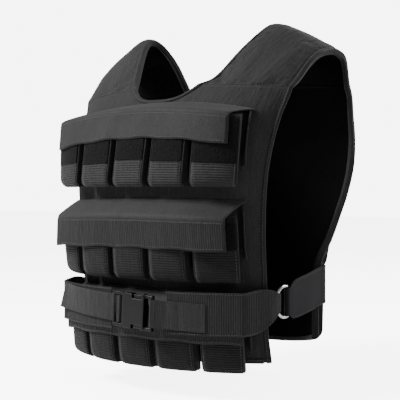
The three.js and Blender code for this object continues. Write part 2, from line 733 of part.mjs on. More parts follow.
// Places along the belt, from an inner end to just past the end of the flap
const beltStops = (inner) => steps(8).map((share) => shareFrom(inner, flapEnd + 2, share));

// Half of the waist belt, drawn on the wearer's left: from its inner end over the flap to the
// ring and back in a short sewn return
function beltBody(side, inner) {
  const onFlap = beltStops(inner).map((length) => {
    const point = beltOnFlap(length, beltWall / 2);
    return { x: point.x, y: point.y, middle: beltZ, half: beltWidth / 2 };
  });
  const turn = foldRadius(beltWall);
  const end = { middle: ringZ, half: beltEndWidth / 2 };
  const foldY = ringY - foldReach(beltEndWidth) - turn + beltWall / 2;
  const at = (x, y, share, width) => ({
    x, y, middle: shareFrom(beltZ, ringZ, share), half: width / 2 });
  const corner = [
    at(ringX - beltWall, frontEdge.y - beltCornerLead, 0.3, beltWidth),
    at(ringX + turn, frontEdge.y, 0.7, shareFrom(beltEndWidth, beltWidth, 0.6)),
  ];
  const fold = foldStations(ringX, foldY, turn, 1, end);
  const behind = [
    at(ringX - turn, foldY - beltReturn, 1, beltEndWidth),
    at(ringX + turn - beltWall - gap, frontEdge.y, 0.8, beltEndWidth),
  ];
  const stations = [...onFlap, ...corner, ...fold, ...behind];
  return bandBody(stations.map((spot) => ({ ...spot, x: spot.x * side, wall: beltWall })));
}

// Corner of the side strap round the back panel's edge: out and ahead are shares of the strap's
// clearance from that edge, rise the share of the way up from the ring's height
const strapCorner = table(["out", "ahead", "rise"], [
  [0.9, 0.1, 0.97],
  [1.3, 1.5, 0.93],
  [1.3, 4.5, 0.85],
]);
const strapBulge = 2; // how far the strap bows out between its corner and the ring

// Side strap: sewn to the back panel's margin, round its side edge to the ring and back
function sideStrapBody(side) {
  const turn = foldRadius(beltWall);
  const strapZ = -strapLevel * drop;
  const edgeLength = bandReach(back, strapLevel);
  const clear = gap + tapeLift + bindingWall + beltWall / 2;
  const onPanel = [0, 0.5, 0.85].map((share) => {
    const length = edgeLength - strapSewnLength * (1 - share);
    const depths = [-1, 0, 1].map((part) =>
      onFace(back, length, strapZ + (part * strapWidth) / 2, clear).y);
    const { x } = onFace(back, length, strapZ, clear);
    return { x, y: Math.max(...depths) + 4 * gap, middle: strapZ, half: strapWidth / 2 };
  });
  const foldY = ringY + foldReach(strapFoldWidth) + turn - beltWall / 2;
  const at = (x, y, share, width) => ({
    x, y, middle: shareFrom(ringZ, strapZ, share), half: width / 2 });
  const last = onPanel[onPanel.length - 1];
  const edgeX = Math.max(...[-1, 0, 1].map((part) =>
    sideEdge(back, strapLevel + (part * strapWidth) / 2 / drop).x));
  const bow = { x: shareFrom(ringX + turn, last.x, 0.4) + strapBulge, y: shareFrom(foldY, last.y, 0.5) };
  const between = [
    ...strapCorner.map(({ out, ahead, rise }) =>
      at(edgeX + clear * out, last.y - clear * ahead, rise, strapWidth)),
    at(bow.x, bow.y, 0.45, strapWidth),
    at(ringX + turn, foldY + strapTaper, 0.1, shareFrom(strapFoldWidth, strapWidth, 0.8)),
  ];
  const fold = foldStations(ringX, foldY, turn, -1, { middle: ringZ, half: strapFoldWidth / 2 });
  const behind = [
    at(ringX - turn, foldY + strapReturn, 0.15, strapFoldWidth),
    at(bow.x - beltWall - gap, bow.y, 0.45, strapFoldWidth),
  ];
  const stations = [...onPanel, ...between, ...fold, ...behind];
  return bandBody(stations.map((spot) => ({ ...spot, x: spot.x * side, wall: beltWall })));
}

// Length along a panel's face from the centre line to its side edge
function bandReach(panel, level) {
  const points = steps(50).map((share) => panelPoint(panel, share, level));
  return points.slice(1).reduce((sum, point, i) => sum + point.distanceTo(points[i]), 0);
}

function ringBody() {
  return mergeVertices(stripped(new THREE.TorusGeometry(ringRadius, ringWire / 2, 6, 20)));
}

// Webbing laid on the belt, in layers counted out from the belt's face
const beltTilt = (x) => beltZ - Math.tan(buckleTilt) * (x - buckleOffCentre);
const layer = (count) => gap + webbingWall / 2 + count * (webbingWall + gap);
const webbingTurn = buckleBar / 2 + 1.5 * gap + webbingWall / 2;

function laidOnBelt(length, offset) {
  const point = beltOnFlap(length, beltWall + offset);
  return { x: point.x, y: point.y };
}

// Near the buckle the webbing leans with it, and further off it stands upright
const leanEnds = [0.3, 0.8]; // distances from the buckle's middle, in shares of its length

function webbingBody(spots) {
  return bandBody(spots.map((spot) => {
    const away = Math.abs(spot.x - buckleOffCentre) / buckleLength;
    const fade = (away - leanEnds[0]) / (leanEnds[1] - leanEnds[0]);
    const lean = Math.tan(buckleTilt) * (1 - Math.min(1, Math.max(0, fade)));
    return { ...spot, middle: beltTilt(spot.x), half: webbingWidth / 2, wall: webbingWall, lean };
  }));
}

// Local frame of the buckle: x along the belt from its middle, y back and z up
const buckleY = laidOnBelt(buckleOffCentre, buckleDepth / 2 + gap / 2).y;
const onBuckle = (share, y) => ({ x: buckleOffCentre + share * buckleLength, y: buckleY + y });
const buckle = { // places along the buckle, in shares of its length
  ladderEnd: -0.5, outerBar: -0.446, foldBar: -0.358, ladderRoot: -0.27, ladderFoot: -0.228,
  mouth: -0.22, prongRoot: -0.01, notchStart: 0, buttonStart: 0.02, buttonEnd: 0.2,
  prongEnd: 0.21, notchEnd: 0.23, armRoot: 0.257, boreEnd: 0.267, bodyEnd: 0.297,
  endBar: 0.45, armEnd: 0.48,
};
const buckleRise = { // heights from its middle line, in shares of its height
  prongIn: 0.17, buttonIn: 0.3, prongOut: 0.34, notch: 0.37, buttonOut: 0.48,
};
const thinHalf = buckleDepth * 0.28; // half thickness of the ladder and the arms
const outerBarBack = -buckleDepth * 0.084; // the outer bar is thinned to let the webbing past
const foldBarY = buckleDepth / 2 - gap - webbingWall - gap - buckleBar / 2;
const buckleSlot = webbingWidth / 2 + gap * 3; // half height of the slots for the webbing
const tongueHalf = buckleDepth / 2 - buckleWall - gap * 3; // half thickness of the prongs

// Block from one place along the buckle to another; low and high are heights, near and far depths
function block(from, to, [low, high], [near, far]) {
  const box = new THREE.BoxGeometry((to - from) * buckleLength, far - near, high - low);
  box.translate(((from + to) / 2) * buckleLength, (near + far) / 2, (low + high) / 2);
  return stripped(box);
}

const either = (half) => [-half, half];
const above = (sign, low, high) => (sign > 0 ? [low, high] : [-high, -low]);

function roundBar(share, y) {
  const bar = new THREE.CylinderGeometry(buckleBar / 2, buckleBar / 2, buckleHeight - buckleBar, 8);
  bar.rotateX(Math.PI / 2);
  bar.translate(share * buckleLength, y, 0);
  return stripped(bar);
}

// Plate with rounded corners, from front to back of the buckle
function roundedPlate(from, to, thick) {
  const [x0, x1, top] = [from * buckleLength, to * buckleLength, buckleHeight / 2];
  const round = buckleCornerRound;
  const shape = new THREE.Shape();
  shape.absarc(x1 - round, top - round, round, 0, Math.PI / 2);
  shape.absarc(x0 + round, top - round, round, Math.PI / 2, Math.PI);
  shape.absarc(x0 + round, round - top, round, Math.PI, 1.5 * Math.PI);
  shape.absarc(x1 - round, round - top, round, 1.5 * Math.PI, 2 * Math.PI);
  const plate = new THREE.ExtrudeGeometry(shape, {
    depth: thick, bevelEnabled: false, curveSegments: 3 });
  plate.rotateX(Math.PI / 2);
  plate.translate(0, thick / 2, 0);
  return stripped(plate);
}

// Male half: a ladder for the webbing and two sprung prongs with side buttons
function maleBuckle() {
  const rise = Object.fromEntries(
    Object.entries(buckleRise).map(([name, share]) => [name, share * buckleHeight]));
  const tongue = either(tongueHalf);
  const ladder = cut(
    roundedPlate(buckle.ladderEnd, buckle.ladderFoot, 2 * thinHalf),
    block(buckle.outerBar, buckle.ladderRoot, either(buckleSlot), either(buckleDepth)),
    block(2 * buckle.ladderEnd, buckle.ladderRoot, either(buckleSlot), [outerBarBack, buckleDepth]));
  const prong = (sign) => [
    block(buckle.prongRoot, buckle.prongEnd, above(sign, rise.prongIn, rise.prongOut), tongue),
    block(buckle.buttonStart, buckle.buttonEnd, above(sign, rise.buttonIn, rise.buttonOut), tongue),
  ];
  return joined(ladder, roundBar(buckle.foldBar, foldBarY),
    block(buckle.ladderRoot - buckle.prongRoot, 0, either(rise.prongOut), tongue),
    ...prong(1), ...prong(-1));
}

// Female half: a hollow body with a notch at each side for the prongs' buttons, and an end bar
function femaleBuckle() {
  const inside = buckleHeight / 2 - buckleWall;
  const bore = either(buckleDepth / 2 - buckleWall);
  const notch = (sign) => block(buckle.notchStart, buckle.notchEnd,
    above(sign, buckleHeight * buckleRise.notch, buckleHeight), either(buckleDepth));
  const shell = cut(
    roundedPlate(buckle.mouth, buckle.bodyEnd, buckleDepth),
    block(2 * buckle.mouth, buckle.boreEnd, either(inside), bore), notch(1), notch(-1));
  const arm = (sign) => block(buckle.armRoot, buckle.armEnd,
    above(sign, buckleSlot, buckleHeight / 2), either(thinHalf));
  return joined(shell, arm(1), arm(-1), roundBar(buckle.endBar, 0));
}

// Half turn of the webbing round a bar of the buckle, from its back to its front
const barTurn = (share, y, heading) => [0, 0.25, 0.5, 0.75, 1].map((step) => {
  const spot = onBuckle(share, y + webbingTurn * Math.cos(Math.PI * step));
  return { ...spot, x: spot.x + heading * webbingTurn * Math.sin(Math.PI * step) };
});

// Adjustable webbing: sewn to the belt, round the ladder's bar and back to a free end
function webbingTail() {
  const stops = beltStops(buckleLength / 2 - buckleOffCentre);
  const under = [stops[2], stops[1]].map((length) => laidOnBelt(-length, layer(0)));
  const over = stops.slice(1, 7).map((length) => laidOnBelt(-length, layer(1)));
  const [last, before] = [over[over.length - 1], over[over.length - 2]];
  const slope = (last.y - before.y) / (last.x - before.x);
  const loose = [0.5, 1].map((share) => {
    const x = shareFrom(last.x, -freeEndReach, share);
    return { x, y: last.y + slope * (x - last.x) };
  });
  const underBar = onBuckle((buckle.ladderEnd + buckle.outerBar) / 2,
    -outerBarBack + gap + webbingWall / 2);
  return webbingBody([
    ...under, ...barTurn(buckle.foldBar, foldBarY, 1), underBar, ...over, ...loose]);
}

// Webbing sewn to the wearer's left half of the belt and looped round the buckle's end bar. Each
// stop is a place along the belt, past a stop of the belt's own, and a count of layers.
const patchOver = table(["stop", "past", "count"], [
  [0, 7, 1.4],
  [1, 4, 1],
  [1, 12, 0],
  [2, 0, 0],
  [3, 0, 0],
  [4, 6, 0],
]);
const patchUnder = table(["stop", "past", "count"], [[1, 4, 0], [0, 6, 0]]);

function webbingPatch() {
  const stops = beltStops(buckleOffCentre + buckleLength / 2);
  const laid = ({ stop, past, count }) => laidOnBelt(stops[stop] + past, layer(count));
  return webbingBody([
    ...patchUnder.map(laid), ...barTurn(buckle.endBar, 0, -1), ...patchOver.map(laid)]);
}

function stripped(geometry) {
  geometry.deleteAttribute("normal");
  geometry.deleteAttribute("uv");
  return geometry;
}

// Build
for (const panel of [front, back]) {
  addPiece(`${panel.name}_panel`, wallBody(grids[panel.name]), finishes.cloth);
  addPiece(`${panel.name}_hem`, hemTape(panel), finishes.tape);
  panel.rows.forEach((row, i) => {
    for (let place = 1; place <= panel.pockets; place += 1) {
      addPiece(`pocket_${panel.name}_${i + 1}_${place}`, pocketBody(panel, row, place), finishes.webbing);
    }
    addPiece(`flap_${panel.name}_${i + 1}`, flapBody(panel, row), finishes.flap);
  });
}
for (const [name, side] of [["left", 1], ["right", -1]]) {
  addPiece(`shoulder_${name}`, wallBody(grids[name]), finishes.cloth);
  addPiece(`armhole_tape_${name}`, armholeTape(name, side), finishes.tape);
  const inner = buckleLength / 2 + side * buckleOffCentre + beltInset;
  addPiece(`belt_${name}`, beltBody(side, inner), finishes.webbing);
  addPiece(`side_strap_${name}`, sideStrapBody(side), finishes.strap);
  const ring = addPiece(`ring_${name}`, ringBody(), finishes.ring);
  ring.rotation.y = Math.PI / 2;
  ring.position.set(side * ringX, ringY, ringZ);
}
addPiece("neck_tape", neckTape(), finishes.tape);
for (const [name, body] of [["buckle_male", maleBuckle()], ["buckle_female", femaleBuckle()]]) {
  const half = addPiece(name, body, finishes.buckle);
  half.rotation.y = buckleTilt;
  half.position.set(buckleOffCentre, buckleY, beltZ);
}
addPiece("webbing_tail", webbingTail(), finishes.webbing);
addPiece("webbing_patch", webbingPatch(), finishes.webbing);

export default vest;
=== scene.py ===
"""Weighted vest: padded panels and shoulders, loaded pockets under flaps, and a webbing belt."""

import math

import bmesh
import bpy
import numpy as np
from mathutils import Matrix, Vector, noise


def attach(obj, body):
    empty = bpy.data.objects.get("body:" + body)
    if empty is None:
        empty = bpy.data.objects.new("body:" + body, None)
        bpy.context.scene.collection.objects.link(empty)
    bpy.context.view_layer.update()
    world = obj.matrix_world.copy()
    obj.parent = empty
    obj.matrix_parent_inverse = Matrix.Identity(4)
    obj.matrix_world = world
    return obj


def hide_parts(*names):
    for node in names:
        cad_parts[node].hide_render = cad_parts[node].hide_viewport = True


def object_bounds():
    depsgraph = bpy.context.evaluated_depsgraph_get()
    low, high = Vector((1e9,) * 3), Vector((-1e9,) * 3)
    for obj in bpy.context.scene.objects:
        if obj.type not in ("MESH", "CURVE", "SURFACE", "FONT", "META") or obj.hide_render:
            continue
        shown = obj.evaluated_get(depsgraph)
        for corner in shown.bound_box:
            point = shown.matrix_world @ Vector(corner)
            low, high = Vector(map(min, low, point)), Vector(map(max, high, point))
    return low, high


bl_info = {
    "name": "Weighted Vest",
    "version": (1, 0, 0),
    "blender": (4, 5, 0),
    "location": "View3D > Sidebar > Vest",
    "description": "Builds a weighted training vest piece by piece over its packed frame",
    "category": "Add Mesh",
}

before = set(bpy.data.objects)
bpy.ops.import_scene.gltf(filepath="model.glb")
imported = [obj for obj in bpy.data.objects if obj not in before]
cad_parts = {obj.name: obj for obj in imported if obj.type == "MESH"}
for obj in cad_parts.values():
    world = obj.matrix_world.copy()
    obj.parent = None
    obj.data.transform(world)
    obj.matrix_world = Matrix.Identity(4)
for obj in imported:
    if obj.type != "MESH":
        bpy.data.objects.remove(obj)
cad_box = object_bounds()

# Sizes of the vest in millimetres, as its frame has them
MM = 0.001
DROP = 452.0
HALF_WIDTH = 205.0
FRONT_DEPTH = 165.0
BACK_DEPTH = 165.0
PANEL_WALL = 7.0
PAD_CROWN = 3.0
SHOULDER_CREST = 8.0
GAP = 0.3
POCKET_WIDTH = 54.0
FRONT_POCKETS, BACK_POCKETS = 5, 4
FRONT_PITCH, BACK_PITCH = 63.0, 60.0
POCKET_DEPTH = 27.0
POCKET_BOTTOM_ROUND = 12.0
POCKET_SIDE_ROUND = 4.5
FLAP_WALL = 2.0
FLAP_CLEAR = 1.6
FLAP_ROOT_OVERHANG = 14.0
GUSSET_CLEAR = 8.0
GUSSET_DROP = 78.0
GUSSET_DEPTH = 15.0
GUSSET_WALL = 1.6
BELT_WIDTH = 58.0
BELT_WALL = 1.8
BELT_END_WIDTH = 25.0
BELT_INSET = 8.0
RING_RADIUS = 21.5
RING_WIRE = 4.0
STRAP_WIDTH = 56.0
STRAP_FOLD_WIDTH = 37.0
STRAP_SEWN = 30.0
WEBBING_WIDTH = 38.0
WEBBING_WALL = 1.5
BUCKLE_DEPTH = 11.0
BUCKLE_LENGTH = 74.0
BUCKLE_OFF_CENTRE = 17.0
BUCKLE_BAR = 4.0
BUCKLE_TILT = math.radians(3)
FREE_END_REACH = 158.0
END_SLANT = 0.32
SEAM_REACH = 0.3
HANG_Z, HANG_REACH = -48.0, 60.0
HANG_SHIFT = (-4.4, -5.4, 0.0)
HANG_SIDE, HANG_BACK = (125.0, 190.0), (25.0, 60.0)
ROUND_SHARE = 0.3
SIDES = (("left", 1), ("right", -1))
TAPE_LIFT, TAPE_EDGE_GAP = 0.45, 0.7
TAPE_STITCH_IN, TAPE_STITCH_UP = 3.9, 1.45
POCKET_TOP_GAP, POCKET_BACK_GAP = 4.0, 5.0
POCKET_STAND, LAST_POCKET_STAND = 0.9, 3.9
POCKET_BACK_SHARE = 0.05
POCKET_CROWN = 0.05
LAST_ROW = 0.9
WEB_HALF, PILE_HALF, SEAM_HALF, CORD_HALF = 24.7, 23.5, 23.1, 25.8
WEB_LIFT, PILE_LIFT, SEAM_LIFT, CORD_LIFT = 0.75, 0.95, 1.25, 0.35
WEB_WALL, PILE_WALL, CORD_RADIUS = 1.1, 1.5, 0.85
FLAP_CLOTH_WALL, FACING_WALL, FACING_LIFT, FLAP_SEAM_LIFT = 1.5, 1.0, 1.35, 2.15
GUSSET_CORD_RADIUS = 1.2
BUCKLE_BEVEL = 0.0011

# Places on the panels where lengths are measured: first, last and how many
LEVEL_SAMPLES = (0.08, 1.12, 105)
SHARE_SAMPLES = (0.0, 1.5, 76)
LENGTH_SAMPLES = (0.0, 240.0, 121)

# Simulation of the padding: pressure, shrinking, how many steps and the furthest move kept
PAD_PRESSURE = 3.0
PAD_SHRINK = -0.025
PAD_STEPS = 16
PAD_CAP = 2.2
TIED_ROWS, TIED_SHARE = slice(56, 58), 0.7
SHOULDER_SEAMS = (0.012, 0.79)

# Fineness of the cloths' and the plastic's grain, and of the ribs of the buckle's webbing
LINT_FINENESS = 40.0
SLUB_SCALE = 420.0
LOOP_SCALE = 420.0
GRAIN_SCALE = 2500.0
BAND_PITCH = 0.7

# Panel lines: level down the drop, then the centre, edge and corner of the section there
LINES = ("level", "centre", "edge_out", "edge_back", "corner")
FRONT_LINES = (
    (0.14, 0.63, 0.955, 0.375, 4), (0.19, 0.735, 0.93, 0.42, 4.5),
    (0.25, 0.87, 0.9, 0.485, 6), (0.35, 0.955, 0.868, 0.56, 7),
    (0.45, 0.988, 0.849, 0.6, 6.5), (0.6, 0.994, 0.84, 0.612, 4.5),
    (0.75, 0.957, 0.837, 0.585, 3.6), (0.9, 0.925, 0.828, 0.55, 2.5),
    (1.0, 0.885, 0.85, 0.535, 2.4),
)
BACK_LINES = (
    (0.1, 0.33, 0.975, 0.44, 3), (0.16, 0.47, 0.955, 0.575, 3),
    (0.223, 0.62, 0.927, 0.665, 3.5), (0.305, 0.78, 0.902, 0.755, 5),
    (0.39, 0.885, 0.893, 0.755, 6), (0.475, 0.945, 0.883, 0.68, 5),
    (0.56, 0.95, 0.868, 0.56, 4.5), (0.64, 0.92, 0.854, 0.43, 4),
    (0.7, 0.88, 0.842, 0.3, 3.6), (0.76, 0.845, 0.836, 0.25, 3.5),
    (0.85, 0.805, 0.835, 0.242, 3.4), (1.0, 0.79, 0.835, 0.24, 3.4),
)
ROW_NAMES = ("bottom", "root", "fold", "low", "arch", "top_out", "flare", "reach")
FRONT_ROWS = (
    (0.4646, 0.199, 0.2235, 0.3164, 0.5, 1.35, 0.15, 0.92),
    (0.75, 0.5022, 0.5531, 0.6527, 0.11, 1, 0.5, 0.91),
    (1.0243, 0.7832, 0.8363, 0.9314, 0.11, 1, 0.2, 1),
)
BACK_ROWS = (
    (0.4602, 0.2124, 0.2434, 0.3385, 0.3, 1, 0.1, 0.92),
    (0.7434, 0.5, 0.5487, 0.6482, 0.11, 1, 0.3, 0.92),
    (0.9867, 0.7655, 0.8142, 0.9115, 0.11, 1, 0.05, 0.92),
)
SHOULDER_NAMES = ("along", "in_x", "in_y", "in_z", "out_x", "out_y", "out_z", "crest", "bend", "pad")
SHOULDER_SECTIONS = (
    (0.0, 0.293, -0.618, -0.144, 0.949, -0.388, -0.164, 0.0, 1.0, 0.0),
    (0.2, 0.371, -0.503, -0.117, 0.961, -0.297, -0.13, 0.2, 0.8, 1.0),
    (0.4, 0.463, -0.297, -0.029, 0.978, -0.17, -0.08, 0.6, 0.5, 1.0),
    (0.55, 0.527, -0.133, 0.029, 0.99, -0.03, -0.047, 0.9, 0.3, 1.0),
    (0.7, 0.556, 0.0, 0.055, 0.998, 0.135, -0.031, 1.0, 0.2, 1.0),
    (0.8, 0.551, 0.158, 0.042, 0.995, 0.26, -0.029, 0.9, 0.2, 0.9),
    (0.9, 0.5, 0.29, -0.018, 0.985, 0.4, -0.048, 0.4, 0.5, 0.0),
    (1.0, 0.42, 0.37, -0.115, 0.966, 0.497, -0.128, 0.0, 1.0, 0.0),
)

stitch_lines = []


def mix(low, high, share):
    """Value a share of the way from low to high."""
    return low + (high - low) * share


def curve(keys, values, place):
    """Smooth curve through the points of a table, read at any places along it."""
    keys, values = np.asarray(keys, float), np.asarray(values, float)
    place = np.asarray(place, float)
    last = len(keys) - 1
    before = np.maximum(np.arange(last + 1) - 1, 0)
    after = np.minimum(np.arange(last + 1) + 1, last)
    slope = (values[after] - values[before]) / (keys[after] - keys[before])
    i = np.clip(np.searchsorted(keys, place) - 1, 0, last - 1)
    span = keys[i + 1] - keys[i]
    t = (place - keys[i]) / span
    t2, t3 = t * t, t * t * t
    inside = ((2 * t3 - 3 * t2 + 1) * values[i] + (t3 - 2 * t2 + t) * span * slope[i]
              + (3 * t2 - 2 * t3) * values[i + 1] + (t3 - t2) * span * slope[i + 1])
    low = values[i] + slope[i] * (place - keys[i])
    high = values[i + 1] + slope[i + 1] * (place - keys[i + 1])
    return np.where(t < 0, low, np.where(t > 1, high, inside))


def points(x, y, z):
    """Array of points from coordinates that may be arrays or numbers."""
    return np.stack(np.broadcast_arrays(x, y, z), axis=-1).astype(float)


def unit(v):
    """The same vectors at length 1."""
    return v / np.maximum(np.linalg.norm(v, axis=-1, keepdims=True), 1e-12)


def ease(value, low, high):
    """0 below low, 1 above high and smooth between."""
    t = np.clip((np.asarray(value, float) - low) / (high - low), 0, 1)
    return t * t * (3 - 2 * t)


class Row:
    """One row of pockets: its heights down the drop and the shape of its flap."""

    def __init__(self, values, row_half):
        for name, value in zip(ROW_NAMES, values):
            setattr(self, name, value)
        self.row_half = row_half
        self.flap_half = self.reach * row_half
        self.root_half = row_half + FLAP_ROOT_OVERHANG

    def line(self, name, length):
        """Height of one of the row's lines at a length from the centre line."""
        droop = self.arch * POCKET_DEPTH * (np.asarray(length, float) / self.row_half) ** 2
        return -getattr(self, name) * DROP - droop


class Panel:
    """Front or back panel: its outer face, and lengths measured along it."""

    def __init__(self, name, facing, depth, lines, rows, pockets, share, levels, hem_lift):
        self.name, self.facing, self.depth = name, facing, depth
        self.pockets, self.pitch = pockets
        row_half = ((self.pockets - 1) * self.pitch + POCKET_WIDTH) / 2
        self.rows = [Row(values, row_half) for values in rows]
        self.share, self.hem_lift = share, hem_lift
        self.neck, self.seam_in, self.seam_out, self.hem = levels
        self.columns = dict(zip(LINES, np.array(lines, float).T))
        self.measure()

    def middle(self, place):
        """Length from the centre line to the middle of a pocket."""
        return (place - (self.pockets + 1) / 2) * self.pitch

    def read(self, name, level):
        return curve(self.columns["level"], self.columns[name], level)

    def point(self, across, level):
        across, level = np.asarray(across, float), np.asarray(level, float)
        away = np.abs(across)
        bend = ROUND_SHARE * away ** 2 + (1 - ROUND_SHARE) * away ** self.read("corner", level)
        y = mix(self.read("centre", level), self.read("edge_back", level), bend)
        x = across * self.read("edge_out", level) * HALF_WIDTH
        return points(x, self.facing * self.depth * y, -level * DROP)

    def normal(self, across, level, flat=False):
        step = 0.004
        side = self.point(across + step, level) - self.point(across - step, level)
        fall = self.point(across, level + step) - self.point(across, level - step)
        out = np.cross(side, fall) * self.facing
        if flat:
            out[..., 2] = 0
        return unit(out)

    def measure(self):
        """Tables that turn a length along the face into a share across it."""
        self.levels = np.linspace(*LEVEL_SAMPLES)
        across = np.linspace(*SHARE_SAMPLES)
        grid = self.point(across[None, :], self.levels[:, None])
        walked = np.linalg.norm(np.diff(grid, axis=1), axis=-1)
        walked = np.concatenate([np.zeros((len(grid), 1)), np.cumsum(walked, axis=1)], axis=1)
        self.lengths = np.linspace(*LENGTH_SAMPLES)
        self.shares = np.array([np.interp(self.lengths, row, across) for row in walked])

    def across_at(self, length, level):
        length, level = np.broadcast_arrays(np.asarray(length, float), np.asarray(level, float))
        r = np.clip((level - self.levels[0]) / (self.levels[1] - self.levels[0]),
                    0, len(self.levels) - 1.001)
        c = np.clip(np.abs(length) / (self.lengths[1] - self.lengths[0]),
                    0, len(self.lengths) - 1.001)
        i, j = r.astype(int), c.astype(int)
        fr, fc = r - i, c - j
        low = mix(self.shares[i, j], self.shares[i, j + 1], fc)
        high = mix(self.shares[i + 1, j], self.shares[i + 1, j + 1], fc)
        return np.sign(length) * mix(low, high, fr)

    def on_face(self, length, z, offset=0.0):
        """Point at a length from the centre line and a height, moved level off the face."""
        level = -np.asarray(z, float) / DROP
        across = self.across_at(length, level)
        out = self.normal(across, level, flat=True)
        return self.point(across, level) + out * np.asarray(offset, float)[..., None]

    def hem_level(self, across):
        return self.hem - self.hem_lift * np.abs(across) ** 2.5

    def top_level(self, across):
        away = np.abs(np.asarray(across, float))
        neck = mix(self.neck, self.seam_in, (away / self.share) ** 3)
        seam = mix(self.seam_in, self.seam_out, (away - self.share) / (1 - self.share))
        return np.where(away < self.share, neck, seam)

    def front_of_row(self, row, length, z, extra=0.0):
        """Point on the plane of a row's pocket fronts."""
        foot = -min(row.bottom, self.hem) * DROP
        head = row.line("fold", length)
        low = self.on_face(length, np.full_like(head, foot), POCKET_DEPTH + extra)
        high = self.on_face(length, head, POCKET_DEPTH * row.top_out + extra)
        low[..., 2], high[..., 2] = foot, head
        share = ((z - foot) / (head - foot))[..., None]
        place = mix(low, high, share)
        place[..., 2] = z
        return place

    def in_row(self, row, length, z, share):
        """Point a share of the way from the panel to the plane of the pocket fronts."""
        length, z, share = np.broadcast_arrays(
            np.asarray(length, float), np.asarray(z, float), np.asarray(share, float))
        return mix(self.on_face(length, z), self.front_of_row(row, length, z), share[..., None])


front = Panel("front", -1, FRONT_DEPTH, FRONT_LINES, FRONT_ROWS, (FRONT_POCKETS, FRONT_PITCH), 0.308,
              (0.19, 0.1438, 0.1637, 1.0), 0.0)
back = Panel("back", 1, BACK_DEPTH, BACK_LINES, BACK_ROWS, (BACK_POCKETS, BACK_PITCH), 0.434,
             (0.157, 0.115, 0.128, 1.01), 0.055)
shoulder_table = dict(zip(SHOULDER_NAMES, np.array(SHOULDER_SECTIONS).T))


def shoulder_sheet(along, across):
    """Outer face of the left shoulder, before it is drawn on to the seams."""
    along, across = np.broadcast_arrays(np.asarray(along, float), np.asarray(across, float))

    def part(name):
        return curve(shoulder_table["along"], shoulder_table[name], along)

    depth = np.where(part("in_y") < 0, FRONT_DEPTH, BACK_DEPTH)
    away = np.abs(across)
    bend = ROUND_SHARE * away ** 2 + (1 - ROUND_SHARE) * away ** 4
    turn = mix(across, bend, part("bend"))
    crest = SHOULDER_CREST * part("crest") * np.sin(np.pi * np.maximum(across, 0) ** 0.6)
    return points(HALF_WIDTH * mix(part("in_x"), part("out_x"), across),
                  depth * mix(part("in_y"), part("out_y"), turn),
                  DROP * mix(part("in_z"), part("out_z"), across) + crest)


def seam_pulls(along):
    """Each panel, the shoulder's end at its seam, and how strongly it draws the shoulder in."""
    return ((front, 0.0, np.maximum(0, 1 - along / SEAM_REACH) ** 2),
            (back, 1.0, np.maximum(0, 1 - (1 - along) / SEAM_REACH) ** 2))


def seam_level(panel, across):
    return mix(panel.seam_in, panel.seam_out, across)


def shoulder_point(along, across):
    """Outer face of the left shoulder: along from the front seam back, across from the neck."""
    along, across = np.broadcast_arrays(np.asarray(along, float), np.asarray(across, float))
    place = shoulder_sheet(along, across)
    for panel, end, pull in seam_pulls(along):
        seam = panel.point(mix(panel.share, 1, across), seam_level(panel, across))
        place = place + (seam - shoulder_sheet(np.full_like(along, end), across)) * pull[..., None]
    return place


def shoulder_normal(along, across):
    """Outward direction of the shoulder, turned to the panels' at its two seams."""
    along, across = np.broadcast_arrays(np.asarray(along, float), np.asarray(across, float))
    step = 0.01
    side = shoulder_point(along, across + step) - shoulder_point(along, across - step)
    run = shoulder_point(along + step, across) - shoulder_point(along - step, across)
    out = unit(np.cross(side, run))
    for panel, _, pull in seam_pulls(along):
        out = mix(out, panel.normal(mix(panel.share, 1, across), seam_level(panel, across)),
                  pull[..., None])
    return unit(out)


def shoulder_swell(along, across):
    """How far the padding of the shoulder stands out."""
    pad = np.maximum(0, curve(shoulder_table["along"], shoulder_table["pad"], along))
    return PAD_CROWN * pad * (1 - np.abs(2 * across - 1) ** 4)


def mirror(place, side):
    """The same points on the left (1) or on the right (-1)."""
    return place * np.array([side, 1.0, 1.0])


def hung(place):
    """Points of the right side with the shoulder's back end hanging a little out and forward."""
    level = np.clip(1 - np.abs(place[..., 2] - HANG_Z) / HANG_REACH, 0, 1)
    weight = ease(level, 0, 0.8) * ease(-place[..., 0], *HANG_SIDE) * ease(place[..., 1], *HANG_BACK)
    return place + weight[..., None] * np.array(HANG_SHIFT)


def wrinkle(place, scale, seed, stretch=(1.0, 1.0, 1.0)):
    """Smooth noise from -1 to 1 at each point."""
    flat = (place.reshape(-1, 3) * np.array(stretch) * scale + seed).tolist()
    return np.array([noise.noise(p) for p in flat]).reshape(place.shape[:-1])


# Meshes
def grid_lengths(grid):
    """Distances walked along and down a grid of points, for a flat map in metres."""
    u = np.zeros(grid.shape[:2])
    v = np.zeros(grid.shape[:2])
    u[:, 1:] = np.cumsum(np.linalg.norm(np.diff(grid, axis=1), axis=-1).mean(0))[None, :]
    v[1:, :] = np.cumsum(np.linalg.norm(np.diff(grid, axis=0), axis=-1).mean(1))[:, None]
    return np.stack([u, v], axis=-1) * MM


def placed(name, data):
    """New object in the scene."""
    obj = bpy.data.objects.new(name, data)
    bpy.context.scene.collection.objects.link(obj)
    return obj


def make_object(name, verts, faces, uvs, ribbed=None):
    """Smooth mesh from points in millimetres, with a flat map; ribbed says where its ribs rise."""
    mesh = bpy.data.meshes.new(name)
    mesh.from_pydata((np.asarray(verts) * MM).tolist(), [], [list(f) for f in faces])
    layer = mesh.uv_layers.new(name="UVMap")
    index = np.empty(len(mesh.loops), int)
    mesh.loops.foreach_get("vertex_index", index)
    layer.data.foreach_set("uv", np.asarray(uvs, float)[index].ravel())
    if ribbed is not None:
        attribute = mesh.attributes.new("ribbed", "FLOAT", "POINT")
        attribute.data.foreach_set("value", np.asarray(ribbed, np.float32))
    mesh.shade_smooth()
    mesh.validate()
    return placed(name, mesh)


